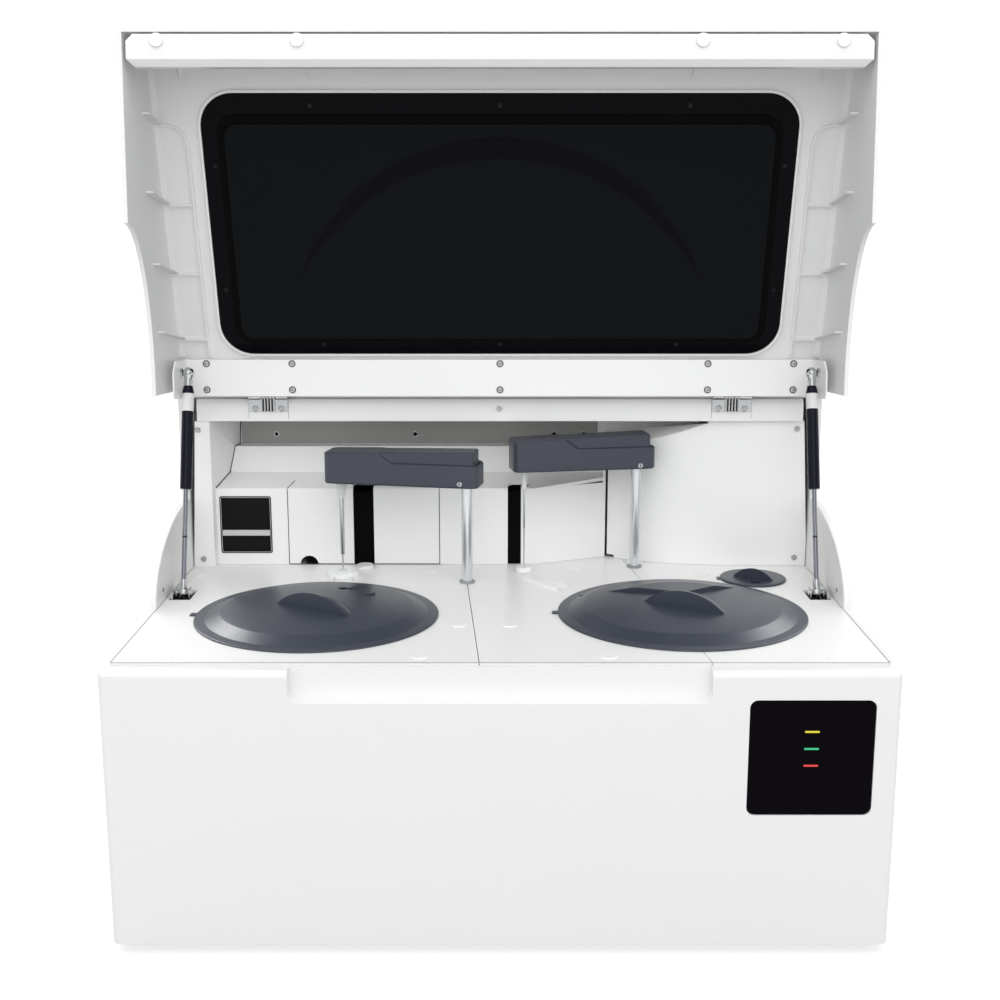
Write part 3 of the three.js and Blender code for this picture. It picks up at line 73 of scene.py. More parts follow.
def pick(piece, kind, test):
    """Goes into edit mode with the edges or points that pass the test."""
    alone(piece)
    bpy.ops.object.mode_set(mode="EDIT")
    bpy.ops.mesh.select_mode(type=kind)
    bpy.ops.mesh.select_all(action="DESELECT")
    bpy.ops.object.mode_set(mode="OBJECT")
    mesh = piece.data
    if kind == "EDGE":
        for edge in mesh.edges:
            a, b = (mesh.vertices[i].co for i in edge.vertices)
            edge.select = bool(test(a, b))
    else:
        for point in mesh.vertices:
            point.select = bool(test(point.co))
    bpy.ops.object.mode_set(mode="EDIT")


def edit_all():
    """Goes into edit mode with everything selected."""
    bpy.ops.object.mode_set(mode="EDIT")
    bpy.ops.mesh.select_all(action="SELECT")


def back_to_object():
    """Leaves edit mode."""
    bpy.ops.object.mode_set(mode="OBJECT")


def turned_out():
    """Turns every face outward and leaves edit mode."""
    bpy.ops.mesh.select_all(action="SELECT")
    bpy.ops.mesh.normals_make_consistent(inside=False)
    back_to_object()


pick(floor, "EDGE", lambda a, b: min(a.y, b.y) > FLOOR_REAR)
bpy.ops.mesh.extrude_region_move(TRANSFORM_OT_translate={"value": (0, 0, BACKDROP_HIGH)})
back_to_object()
pick(floor, "EDGE", lambda a, b: min(a.y, b.y) > FLOOR_REAR and a.z + b.z < 1)
bpy.ops.mesh.bevel(offset=SWEEP, segments=14)
back_to_object()
settled(floor)
bpy.ops.object.shade_smooth()


def for_seen_rays(tree, world=False):
    """1 for the rays that see the backdrop: the camera's, and those from gloss and through glass."""
    rays = tree.nodes.new("ShaderNodeLightPath")
    either = tree.nodes.new("ShaderNodeMath")
    either.operation = "MAXIMUM"
    tree.links.new(rays.outputs["Is Glossy Ray"], either.inputs[0])
    tree.links.new(rays.outputs["Is Transmission Ray"], either.inputs[1])
    if world:
        # The room behind the camera is dim, so gloss sees white only behind and above the object.
        way = tree.nodes.new("ShaderNodeTexCoord")
        split = tree.nodes.new("ShaderNodeSeparateXYZ")
        tree.links.new(way.outputs["Generated"], split.inputs[0])
        behind = tree.nodes.new("ShaderNodeMapRange")
        behind.inputs["From Min"].default_value = -0.55
        behind.inputs["From Max"].default_value = -0.05
        behind.inputs["To Min"].default_value = 0.12
        tree.links.new(split.outputs["Y"], behind.inputs["Value"])
        part = tree.nodes.new("ShaderNodeMath")
        part.operation = "MULTIPLY"
        tree.links.new(either.outputs[0], part.inputs[0])
        tree.links.new(behind.outputs[0], part.inputs[1])
        either = part
    seen = tree.nodes.new("ShaderNodeMath")
    seen.operation = "MAXIMUM"
    tree.links.new(rays.outputs["Is Camera Ray"], seen.inputs[0])
    tree.links.new(either.outputs[0], seen.inputs[1])
    return rays, seen.outputs[0]


paper = bpy.data.materials.new("studio_paper")
paper.use_nodes = True
tree = paper.node_tree
sheet = tree.nodes["Principled BSDF"]
sheet.inputs["Base Color"].default_value = (0.42, 0.42, 0.42, 1)
sheet.inputs["Roughness"].default_value = 0.9
sheet.inputs["Specular IOR Level"].default_value = 0.1
sheet.inputs["Emission Color"].default_value = (1, 1, 1, 1)
lift = tree.nodes.new("ShaderNodeMath")
lift.operation = "MULTIPLY"
lift.inputs[1].default_value = 0.68
tree.links.new(for_seen_rays(tree)[1], lift.inputs[0])
tree.links.new(lift.outputs[0], sheet.inputs["Emission Strength"])
floor.data.materials.append(paper)

surround = bpy.data.worlds.new("studio_surround")
bpy.context.scene.world = surround
surround.use_nodes = True
tree = surround.node_tree
white = tree.nodes["Background"]
white.inputs["Color"].default_value = (1, 1, 1, 1)
white.inputs["Strength"].default_value = 1.0
daylight = (0.98, 0.99, 1, 1)
plain = tree.nodes.new("ShaderNodeBackground")
plain.inputs["Color"].default_value = daylight
sky = tree.nodes.new("ShaderNodeTexCoord")
ahead = tree.nodes.new("ShaderNodeSeparateXYZ")
tree.links.new(sky.outputs["Generated"], ahead.inputs[0])
fade = tree.nodes.new("ShaderNodeMapRange")
fade.inputs["From Min"].default_value = -0.6
fade.inputs["From Max"].default_value = 0.6
fade.inputs["To Min"].default_value = 1.28
fade.inputs["To Max"].default_value = 0.62
tree.links.new(ahead.outputs["Y"], fade.inputs["Value"])
tree.links.new(fade.outputs[0], plain.inputs["Strength"])
dark = tree.nodes.new("ShaderNodeBackground")
dark.inputs["Color"].default_value = daylight
dark.inputs["Strength"].default_value = 0.38
rays, seen = for_seen_rays(tree, world=True)
room = tree.nodes.new("ShaderNodeMixShader")
tree.links.new(rays.outputs["Is Glossy Ray"], room.inputs[0])
tree.links.new(plain.outputs[0], room.inputs[1])
tree.links.new(dark.outputs[0], room.inputs[2])
choose = tree.nodes.new("ShaderNodeMixShader")
tree.links.new(seen, choose.inputs[0])
tree.links.new(room.outputs[0], choose.inputs[1])
tree.links.new(white.outputs[0], choose.inputs[2])
tree.links.new(choose.outputs[0], tree.nodes["World Output"].inputs["Surface"])

for name, place, size, watts in (
    ("lamp_above", (0.1, -0.9, 2.8), 2.0, 9),
    ("lamp_front", (0, -2.95, 2.0), 2.4, 15),
    ("lamp_behind_left", (-1.45, 1.40, 1.75), 0.8, 17),
    ("lamp_behind_right", (1.48, 1.38, 1.73), 0.8, 9),
):
    bpy.ops.object.light_add(type="AREA", location=place)
    lamp = bpy.context.object
    lamp.name = name
    lamp.data.size = size
    lamp.data.energy = watts
    aim = lamp.location - cad_box[0].lerp(cad_box[1], 0.5)
    lamp.rotation_euler = aim.to_track_quat("Z", "Y").to_euler()

CAMERA_PLACE, LOOKS_DOWN, LENS = (0, -1.704, 0.803), 11.812, 48.888
bpy.ops.object.camera_add(location=CAMERA_PLACE, rotation=(radians(90 - LOOKS_DOWN), 0, 0))
camera = bpy.context.object
camera.name = "photo_camera"
camera.data.sensor_width = 36
camera.data.lens = LENS
camera.data.clip_start = 0.05
bpy.context.scene.camera = camera
bpy.context.scene.view_settings.view_transform = "Standard"

# Feet: four short moulded rubber cones, screwed up into the corners of the pan.
# The rubber is dead matt.
DEPTH = 0.660
MID = DEPTH * 500  # the y in millimetres at which the frame's origin lies


def at(x, y, z):
    """A place in millimetres, with y measured from the front face, as a point of the frame."""
    return (x / 1000, y / 1000 - DEPTH / 2, z / 1000)


def grain_group():
    """A fine moulded or painted surface: a speckled grain, slow changes of tone and gloss, a soft bump."""
    group = bpy.data.node_groups.new("surface_grain", "ShaderNodeTree")
    face = group.interface
    sockets = (
        ("Color", "NodeSocketColor", (0.8, 0.8, 0.8, 1)), ("Tone", "NodeSocketFloat", 0.03),
        ("Gloss", "NodeSocketFloat", 0.4), ("Gloss Spread", "NodeSocketFloat", 0.05),
        ("Grain Scale", "NodeSocketFloat", 900.0), ("Grain Depth", "NodeSocketFloat", 0.05),
        ("Wave Depth", "NodeSocketFloat", 0.02), ("Stretch", "NodeSocketVector", (1.0, 1.0, 1.0)),
    )
    for label, kind, value in sockets:
        face.new_socket(label, in_out="INPUT", socket_type=kind).default_value = value
    face.new_socket("Color", in_out="OUTPUT", socket_type="NodeSocketColor")
    face.new_socket("Roughness", in_out="OUTPUT", socket_type="NodeSocketFloat")
    face.new_socket("Normal", in_out="OUTPUT", socket_type="NodeSocketVector")
    nodes, links = group.nodes, group.links
    entry = nodes.new("NodeGroupInput")
    leave = nodes.new("NodeGroupOutput")
    where = nodes.new("ShaderNodeTexCoord")
    stretch = nodes.new("ShaderNodeVectorMath")
    stretch.operation = "MULTIPLY"
    links.new(where.outputs["Object"], stretch.inputs[0])
    links.new(entry.outputs["Stretch"], stretch.inputs[1])
    fine = nodes.new("ShaderNodeTexNoise")
    fine.inputs["Detail"].default_value = 3
    links.new(stretch.outputs[0], fine.inputs["Vector"])
    links.new(entry.outputs["Grain Scale"], fine.inputs["Scale"])
    slow = nodes.new("ShaderNodeTexNoise")
    slow.inputs["Scale"].default_value = 14
    slow.inputs["Detail"].default_value = 4
    links.new(where.outputs["Object"], slow.inputs["Vector"])

    def spread(source, amount, middle):
        """The noise about its middle value, times an amount, added to a middle."""
        centred = nodes.new("ShaderNodeMath")
        centred.operation = "SUBTRACT"
        centred.inputs[1].default_value = 0.5
        links.new(source, centred.inputs[0])
        scaled = nodes.new("ShaderNodeMath")
        scaled.operation = "MULTIPLY_ADD"
        links.new(centred.outputs[0], scaled.inputs[0])
        links.new(amount, scaled.inputs[1])
        if middle is None:
            scaled.inputs[2].default_value = 1.0
        else:
            links.new(middle, scaled.inputs[2])
        return scaled.outputs[0]

    both = nodes.new("ShaderNodeMath")
    both.operation = "MULTIPLY_ADD"
    both.inputs[1].default_value = 0.5
    links.new(fine.outputs["Fac"], both.inputs[0])
    half = nodes.new("ShaderNodeMath")
    half.operation = "MULTIPLY"
    half.inputs[1].default_value = 0.5
    links.new(slow.outputs["Fac"], half.inputs[0])
    links.new(half.outputs[0], both.inputs[2])
    tone = spread(both.outputs[0], entry.outputs["Tone"], None)
    shade = nodes.new("ShaderNodeVectorMath")
    shade.operation = "SCALE"
    links.new(entry.outputs["Color"], shade.inputs[0])
    links.new(tone, shade.inputs["Scale"])
    links.new(shade.outputs[0], leave.inputs["Color"])
    links.new(spread(slow.outputs["Fac"], entry.outputs["Gloss Spread"], entry.outputs["Gloss"]),
              leave.inputs["Roughness"])
    wave = nodes.new("ShaderNodeBump")
    wave.inputs["Distance"].default_value = 0.004
    links.new(slow.outputs["Fac"], wave.inputs["Height"])
    links.new(entry.outputs["Wave Depth"], wave.inputs["Strength"])
    bump = nodes.new("ShaderNodeBump")
    bump.inputs["Distance"].default_value = 0.0004
    links.new(fine.outputs["Fac"], bump.inputs["Height"])
    links.new(entry.outputs["Grain Depth"], bump.inputs["Strength"])
    links.new(wave.outputs[0], bump.inputs["Normal"])
    links.new(bump.outputs[0], leave.inputs["Normal"])
    return group


surface_grain = grain_group()


def finish(name, color, gloss, tone=0.03, spread=0.05, grain=900.0, depth=0.05, wave=0.02,
           stretch=(1, 1, 1), **fixed):
    """A material: the grain group feeds colour, roughness and normal; constants go on the shader itself."""
    material = bpy.data.materials.new(name)
    material.use_nodes = True
    nodes, links = material.node_tree.nodes, material.node_tree.links
    shader = nodes["Principled BSDF"]
    node = nodes.new("ShaderNodeGroup")
    node.node_tree = surface_grain
    values = {"Color": (*color, 1), "Tone": tone, "Gloss": gloss, "Gloss Spread": spread,
              "Grain Scale": grain, "Grain Depth": depth, "Wave Depth": wave, "Stretch": stretch}
    for label, value in values.items():
        node.inputs[label].default_value = value
    links.new(node.outputs["Color"], shader.inputs["Base Color"])
    links.new(node.outputs["Roughness"], shader.inputs["Roughness"])
    links.new(node.outputs["Normal"], shader.inputs["Normal"])
    for label, value in fixed.items():
        shader.inputs[label.replace("_", " ")].default_value = value
    return material


def tower(rings, x, y, sides=64, hollow=False):
    """A round piece that stands on the deck's plan: a circle is extruded and resized ring by ring, in mm.

    The first and last rings are closed with a face, or in a hollow piece joined to each other."""
    (r, z), *rest = rings
    bpy.ops.mesh.primitive_circle_add(vertices=sides, radius=r / 1000, fill_type="NOTHING",
                                      location=at(x, y, z))
    piece = settled(bpy.context.object)
    bpy.ops.object.mode_set(mode="EDIT")
    bpy.ops.mesh.select_mode(type="EDGE")
    bpy.ops.mesh.select_all(action="SELECT")
    for r2, z2 in rest:
        bpy.ops.mesh.extrude_region_move(TRANSFORM_OT_translate={"value": (0, 0, (z2 - z) / 1000)})
        if r2 != r:
            bpy.ops.transform.resize(value=(r2 / r, r2 / r, 1), center_override=at(x, y, z2))
        r, z = r2, z2
    if not hollow:
        bpy.ops.mesh.edge_face_add()
    bpy.ops.mesh.select_all(action="DESELECT")
    bpy.ops.mesh.select_non_manifold()
    if hollow:
        bpy.ops.mesh.bridge_edge_loops()
    else:
        bpy.ops.mesh.edge_face_add()
    turned_out()
    return piece


def soften(piece, width, segments=3, sharp=30, clamp=True):
    """Rounds every edge that is sharper than an angle, by a width in mm."""
    alone(piece)
    bpy.ops.object.mode_set(mode="EDIT")
    bpy.ops.mesh.select_mode(type="EDGE")
    bpy.ops.mesh.select_all(action="DESELECT")
    bpy.ops.mesh.edges_select_sharp(sharpness=radians(sharp))
    bpy.ops.mesh.bevel(offset=width / 1000, segments=segments, clamp_overlap=clamp)
    bpy.ops.object.mode_set(mode="OBJECT")
    return piece


def joined(pieces):
    """Several pieces as one mesh."""
    bpy.ops.object.select_all(action="DESELECT")
    for piece in pieces:
        piece.select_set(True)
    bpy.context.view_layer.objects.active = pieces[0]
    if len(pieces) > 1:
        bpy.ops.object.join()
    return bpy.context.object


def copied(piece, places):
    """The piece and a copy of it at each place, in mm from where it is, as one mesh."""
    made = []
    for x, y, z in places:
        alone(piece)
        bpy.ops.object.duplicate()
        bpy.ops.transform.translate(value=(x / 1000, y / 1000, z / 1000))
        made.append(settled(bpy.context.object))
    bpy.data.objects.remove(piece)
    return joined(made)


CREASE = 35


def done(piece, name, body, slot, material, *nodes):
    """Settles a finished piece: its place goes into the mesh, and it gets its name, material and body.

    Flat faces are shaded flat up to their rounded edges, and edges sharper than the crease stay sharp."""
    settled(piece)
    bpy.ops.object.shade_smooth_by_angle(angle=radians(CREASE))
    flat = piece.modifiers.new("even_faces", "WEIGHTED_NORMAL")
    flat.keep_sharp = True
    bpy.ops.object.modifier_apply(modifier=flat.name)
    piece.name = name
    piece.data.name = name
    piece.data.materials.clear()
    piece.data.materials.append(material)
    if nodes:
        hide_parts(*nodes)
    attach(piece, body)


def repaint(material, *nodes):
    """A CAD node whose shape is right keeps it and gets a finished material."""
    for node in nodes:
        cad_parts[node].data.materials.clear()
        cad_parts[node].data.materials.append(material)


foot_rubber = finish("foot_rubber", (0.018, 0.018, 0.019), 0.78, tone=0.5, spread=0.2, grain=1400,
                     depth=0.3)
for side, x in (("left", -384), ("right", 384)):
    for end, y in (("front", 46), ("rear", 614)):
        foot = tower([(12.5, 0), (14, 0.6), (14.6, 2), (16.4, 9), (17, 10.5), (17, 11.7)], x, y)
        done(foot, f"rubber_foot_{end}_{side}", "base", "foot_rubber", foot_rubber, f"foot_{end}_{side}")

# Pan: folded from galvanised steel sheet, with corner posts that carry the deck. It hardly shows.
# The wells under the covers and the supply in the housing are of the same powder-coated sheet.
sheet_grey = finish("powder_coated_sheet", (0.42, 0.43, 0.44), 0.5, tone=0.12, grain=2200, depth=0.12,
                    Metallic=0.55)
repaint(sheet_grey, "base_pan", "bowl_left", "bowl_right", "small_well", "power_supply")

# Covers of the body: moulded white plastic with a smooth, slightly warm finish and rounded edges.
# The front cover has a scoop for the fingers along its top edge.
cover_white = finish("cover_white", (0.83, 0.83, 0.82), 0.36, tone=0.025, spread=0.06, grain=1500,
                     depth=0.03, wave=0.012, Coat_Weight=0.12, Coat_Roughness=0.25)


def moulded(node, width, segments=3, sharp=30, clamp=True):
    """A copy of a CAD node as clean faces, with its sharp edges rounded."""
    alone(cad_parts[node])
    bpy.ops.object.duplicate()
    piece = bpy.context.object
    for key in list(piece.keys()):
        del piece[key]
    piece.parent = None
    edit_all()
    bpy.ops.mesh.remove_doubles(threshold=0.00002)
    bpy.ops.mesh.dissolve_limited(angle_limit=radians(1))
    back_to_object()
    return soften(piece, width, segments, sharp, clamp)


done(moulded("front_cover", 1.2), "front_cover_moulding", "base", "white_cover", cover_white, "front_cover")

# Indicator panel: a gloss acrylic plate set in the front cover, smoked black.
# Behind it three small bars of light show the state: yellow, green and red.


def tablet(x0, x1, z0, z1, y0, y1, corner, width):
    """A flat plate on a face that looks forward: a plane with round corners, extruded and softened."""
    bpy.ops.mesh.primitive_plane_add(size=1, location=at((x0 + x1) / 2, y1, (z0 + z1) / 2),
                                     rotation=(radians(90), 0, 0))
    piece = bpy.context.object
    piece.scale = ((x1 - x0) / 1000, (z1 - z0) / 1000, 1)
    settled(piece)
    edit_all()
    if corner:
        bpy.ops.mesh.bevel(offset=corner / 1000, segments=8, affect="VERTICES")
        bpy.ops.mesh.select_all(action="SELECT")
    bpy.ops.mesh.extrude_region_move(TRANSFORM_OT_translate={"value": (0, (y0 - y1) / 1000, 0)})
    turned_out()
    return soften(piece, width, 2) if width else piece


acrylic = finish("smoked_acrylic", (0.003, 0.0022, 0.0036), 0.07, tone=0.1, spread=0.03, grain=3000,
                 depth=0.0, wave=0.01, Specular_IOR_Level=0.02)
PANEL_X, PANEL_Z = 335, 231.5
panel = tablet(PANEL_X - 67.2, PANEL_X + 67.2, PANEL_Z - 65.2, PANEL_Z + 65.2, 0.5, 3.7, 9, 0.8)
done(panel, "indicator_plate", "base", "black_panel", acrylic, "indicator_panel")
for name, up, glow in (("yellow", 30, (0.62, 0.52, 0.03)), ("green", 10.6, (0.03, 0.42, 0.2)),
                       ("red", -8.6, (0.62, 0.04, 0.04))):
    lit = finish(f"lit_{name}", glow, 0.4, tone=0.1, Emission_Color=(*glow, 1), Emission_Strength=0.35)
    bar = tablet(PANEL_X - 8, PANEL_X + 8, PANEL_Z + up - 1.1, PANEL_Z + up + 1.1, 0.25, 0.8, 1.05, 0.1)
    done(bar, f"indicator_bar_{name}", "base", "black_panel", lit)

# Side covers: thin white mouldings, thicker along the deck, each with an ear that rises to the housing.
# A countersunk screw holds each ear to the side of the rear wall.
for side in ("left", "right"):
    cheek = moulded(f"{side}_side_cover", 1.6, 4)
    done(cheek, f"{side}_cheek_moulding", "base", "white_cover", cover_white, f"{side}_side_cover")

bright_steel = finish("bright_steel", (0.62, 0.63, 0.645), 0.2, tone=0.06, spread=0.08, grain=1800,
                      depth=0.03, stretch=(1, 1, 0.05), Metallic=1.0)


def carved(piece, cutter):
    """Takes one solid out of another."""
    alone(piece)
    cut = piece.modifiers.new("opening", "BOOLEAN")
    cut.operation = "DIFFERENCE"
    cut.object = cutter
    bpy.ops.object.modifier_apply(modifier=cut.name)
    bpy.data.objects.remove(cutter)
    return piece


RECESS = 3.36


def screw(r=2.6, high=1.5):
    """A pan head with a cross recess that looks up, at the origin of the frame."""
    head = tower([(r, 0), (r, high * 0.45), (r * 0.86, high * 0.85), (r * 0.6, high)], 0, MID, 24)
    for turn in (0, 90):
        bpy.ops.mesh.primitive_cube_add(size=1, location=(0, 0, (high + 0.2) / 1000),
                                        rotation=(0, 0, radians(turn)))
        slot_cut = bpy.context.object
        slot_cut.scale = (r * 1.15 / 1000, r * 0.3 / 1000, RECESS / 1000)
        carved(head, slot_cut)
    return head


def screws(places, turn=(0, 0, 0), **sizes):
    """A screw at each place, in mm, all turned to face one way."""
    head = screw(**sizes)
    head.rotation_euler = [radians(angle) for angle in turn]
    settled(head)
    return copied(head, [(x, y - MID, z) for x, y, z in places])


for side, s in (("left", -1), ("right", 1)):
    ear_screw = screws([(s * 419.6, 258, 347.6)], (0, -s * 90, 0), r=3, high=1.1)
    done(ear_screw, f"{side}_ear_screw", "base", "steel", bright_steel)

# Rear cover and the top of the housing: flat white panels, with ventilation slots and a round grille.
# Six screws along the edges hold the rear cover.
cap = moulded("rear_top_cover", 1.2)
done(cap, "housing_top_panel", "base", "white_cover", cover_white, "rear_top_cover")
# The panel's outer face lies back by a screw head's height, which keeps the screws inside the object's size.
REAR_FACE, SCREW_HIGH = 0.3299, 1.6
back = moulded("rear_cover", 0.7, 2)
pick(back, "VERT", lambda p: p.y > REAR_FACE)
bpy.ops.transform.translate(value=(0, -SCREW_HIGH / 1000, 0))
back_to_object()
done(back, "rear_panel", "base", "white_cover", cover_white, "rear_cover")
edge_screws = screws([(x, 658.2, z) for x in (-414, 0, 414) for z in (40, 552)], (-90, 0, 0), high=SCREW_HIGH)
done(edge_screws, "rear_panel_screws", "base", "steel", bright_steel)

# Deck: three flat panels of white moulded plastic that meet on slanted seams.
# Round caps close the screw holes, each a separate disc in a fine ring gap.
deck_white = finish("deck_white", (0.9, 0.9, 0.885), 0.34, tone=0.02, spread=0.06, grain=1500, depth=0.04,
                    wave=0.02, Coat_Weight=0.1, Coat_Roughness=0.3)
for node in ("deck_left", "deck_middle", "deck_right"):
    done(moulded(node, 0.4, 2), f"{node}_panel", "base", "white_cover", deck_white, node)


def block(x0, x1, y0, y1, z0, z1, width, segments=3):
    """A cube at its size and place, in mm, with all its edges bevelled."""
    bpy.ops.mesh.primitive_cube_add(size=1, location=at((x0 + x1) / 2, (y0 + y1) / 2, (z0 + z1) / 2))
    piece = bpy.context.object
    piece.scale = ((x1 - x0) / 1000, (y1 - y0) / 1000, (z1 - z0) / 1000)
    settled(piece)
    edit_all()
    bpy.ops.mesh.bevel(offset=width / 1000, segments=segments)
    back_to_object()
    return piece


# The deck panels lie loose between the side covers and behind the front cover.
# The fine gap round them is in shade, and a grey strip painted into it stands for that shade as a grey line.
DECK_TOP, DECK_SIDE = 332, 420
gaps = [block(x - 0.7, x + 0.7, 22, 426, DECK_TOP - 0.5, DECK_TOP + 0.25, 0.05, 1)
        for x in (-DECK_SIDE, DECK_SIDE)]
gaps.append(block(-DECK_SIDE, DECK_SIDE, 22.2, 23.2, DECK_TOP - 0.5, DECK_TOP + 0.2, 0.05, 1))
# A mid grey: painted shade for the gaps.
gap_shade_grey = finish("gap_shade_grey", (0.4, 0.4, 0.4), 0.7, tone=0.2, grain=900, depth=0.1)
done(joined(gaps), "deck_gaps", "base", "grey_sheet", gap_shade_grey)

# Wells: a turntable stands in each of the two large wells, on the shaft of its motor.
# It is a grey moulded disc with a hub and radial walls between the places.
turntable_grey = finish("turntable_grey", (0.30, 0.31, 0.32), 0.5, tone=0.05, grain=1600, depth=0.1)
dark_metal = finish("dark_metal", (0.035, 0.036, 0.04), 0.42, tone=0.2, grain=1800, depth=0.08, Metallic=0.6)
repaint(turntable_grey, "turntable_left", "turntable_right")
repaint(dark_metal, "turntable_motor_left", "turntable_motor_right")

# Disc covers: thick slate-coloured mouldings with a fine matt texture, a flat rim and a shallow dome.
# Each has a half-moon grip with a flat face, and a small tab on its left edge.
slate = finish("slate_texture", (0.037, 0.044, 0.064), 0.33, tone=0.16, spread=0.08, grain=2300, depth=0.2,
               wave=0.01, Specular_IOR_Level=0.62)
SEAT = DECK_TOP + 0.3  # a cover rests on the deck's rim with this fine gap below it


def dome(x, y, r):
    """The cover itself: from underneath out to the rim, then up over ring, slope, shoulder and crown."""
    under = [(2, 15.3), (r - 95, 14.4), (r - 72, 12.9), (r - 36, 8.3), (r - 32, 7.4), (r - 16, 0.6),
             (r - 17, 0)]
    top = [(r, 0), (r, 1.0), (r - 0.5, 1.6), (r - 1.5, 1.9), (r - 12.2, 2.5), (r - 13.4, 2.9),
           (r - 29.6, 9.9), (r - 31.4, 10.5), (r - 36, 11.2), (r - 52, 13.6), (r - 72, 15.7),
           (r - 95, 17.2), (r - 120, 17.9), (2, 18.1)]
    return tower([(a, SEAT + b) for a, b in under + top], x, y, 128)


def half_moon(x, y, z, width, high, deep, behind, turn, sink=5):
    """A grip: a circle bisected to an arch and extruded back in layers that narrow and sink."""
    radius = (width * width / 4 + high * high) / (2 * high) / 1000
    bpy.ops.mesh.primitive_circle_add(vertices=128, radius=radius, fill_type="NGON",
                                      location=(0, 0, high / 1000 - radius), rotation=(radians(90), 0, 0))
    piece = settled(bpy.context.object)
    edit_all()
    bpy.ops.mesh.bisect(plane_co=(0, 0, -sink / 1000), plane_no=(0, 0, 1), clear_inner=True)
    bpy.ops.mesh.select_all(action="SELECT")
    wide, tall, layers = 1, 1, 9
    for i in range(1, layers + 1):
        back = i / layers
        narrower, lower = 0.38 + 0.62 * sqrt(1 - back ** 2.4), 1 - (1 - behind / high) * back ** 1.5
        bpy.ops.mesh.extrude_region_move(TRANSFORM_OT_translate={"value": (0, deep / layers / 1000, 0)})
        bpy.ops.transform.resize(value=(narrower / wide, 1, lower / tall),
                                 center_override=(0, deep * back / 1000, 0))
        wide, tall = narrower, lower
    turned_out()
    soften(piece, 1.3, 4, 40)
    piece.rotation_euler = (0, 0, radians(turn))
    piece.location = at(x, y, z)
    return settled(piece)


def holed(piece, r, x, y, z0, z1, sides=32):
    """Cuts a round upright hole through a piece."""
    return carved(piece, tower([(r, z0), (r, z1)], x, y, sides))


LEFT = (-220, 199, 146)
RIGHT = (220, 208, 150)
NEEDLE_HOLE = 6.5
for side, (x, y, r), (grip_x, grip_y) in (("left", LEFT, (-223, 166)), ("right", RIGHT, (217, 175))):
    cover = dome(x, y, r)
    if side == "left":
        holed(cover, NEEDLE_HOLE, -195, 261, 330, 360)
    done(cover, f"{side}_cover_dome", f"disc_cover_{side}", "slate_cover", slate, f"disc_cover_{side}")
    grip = half_moon(grip_x, grip_y, SEAT + 16.6, 103, 20, 25, 11, -30)
    done(grip, f"{side}_cover_grip", f"disc_cover_{side}", "slate_cover", slate)
for side, (x, y, r) in (("left", LEFT), ("right", RIGHT)):
    tab = block(x - r - 7, x - r + 8, y - 5, y + 5, SEAT + 0.1, SEAT + 1.7, 0.5)
    done(tab, f"{side}_cover_tab", f"disc_cover_{side}", "slate_cover", slate)

# The right cover's rear sector is moulded a step higher, behind a wall that is bent in the middle.
# It is turned as a round step, and the planes of the two halves of the wall cut the front away.
x, y, r = RIGHT
step = tower([(a, SEAT + b) for a, b in [
    (2, 16), (r - 72, 14), (r - 36, 9), (r - 15, 3.5), (r - 14.5, 4.6), (r - 82, 21.2), (r - 85, 21.7),
    (r - 90, 21.9), (2, 22)]], x, y, 128)
bend = at(x + 5, y + 16, SEAT)
for turn, way in ((36, 1), (160, -1)):
    outward = (way * sin(radians(turn)), -way * cos(radians(turn)), 0)
    alone(step)
    edit_all()
    bpy.ops.mesh.bisect(plane_co=bend, plane_no=outward, clear_outer=True, use_fill=True)
    turned_out()
soften(step, 0.8, 3, 50)
done(step, "right_cover_step", "disc_cover_right", "slate_cover", slate)

# Beside the hole of the left cover a small saddle of the same plastic is moulded on.
# Its hollow top, cut by a large roller, points the needle at the hole.
ridge = block(-20, 20, MID - 7, MID + 7, 0, 11, 1.2, 3)
roller = tower([(52, -10), (52, 10)], 0, MID, 96)
roller.rotation_euler = (radians(90), 0, 0)
roller.location = (0, 0, 0.0585)
carved(ridge, roller)
soften(ridge, 0.8, 2, 40)
ridge.rotation_euler = (0, 0, radians(-50))
ridge.location = at(-171, 247, SEAT + 7.5)
done(ridge, "left_cover_saddle", "disc_cover_left", "slate_cover", slate)

# Small cover: a flat disc of the same slate plastic with the same kind of grip, only smaller.
# It has a round hole for the needle in front of the grip, and a lip below that centres it in the deck.
SMALL_X, SMALL_Y, r = 335, 367, 43.5
flat = tower([(a, SEAT + b) for a, b in [
    (2, -2.8), (r - 10.2, -2.8), (r - 9.6, -2.2), (r - 9.6, 0), (r, 0), (r, 1.2), (r - 0.5, 2),
    (r - 1.6, 2.6), (r - 3, 2.9), (2, 3.1)]], SMALL_X, SMALL_Y, 96)
holed(flat, NEEDLE_HOLE, 333, 339, 320, 345)
done(flat, "small_cover_disc", "small_cover", "slate_cover", slate, "small_cover")
grip = half_moon(333, 357, SEAT + 2.6, 54, 14, 16, 7, -27, sink=2)
done(grip, "small_cover_grip", "small_cover", "slate_cover", slate)
tab = block(SMALL_X - r - 4, SMALL_X - r + 3, SMALL_Y - 5, SMALL_Y + 5, SEAT + 0.1, SEAT + 1.7, 0.4)
done(tab, "small_cover_tab", "small_cover", "slate_cover", slate)

# Arms: each stands on a ground steel column that slides in a grey guide with a flange on the deck.
# The cover of the arm is a slate moulding in two heights, with one screw in its side.
ground_steel = finish("ground_steel", (0.74, 0.755, 0.78), 0.18, tone=0.05, spread=0.06, grain=2600,
                      depth=0.04, stretch=(1, 1, 0.03), Metallic=0.72)
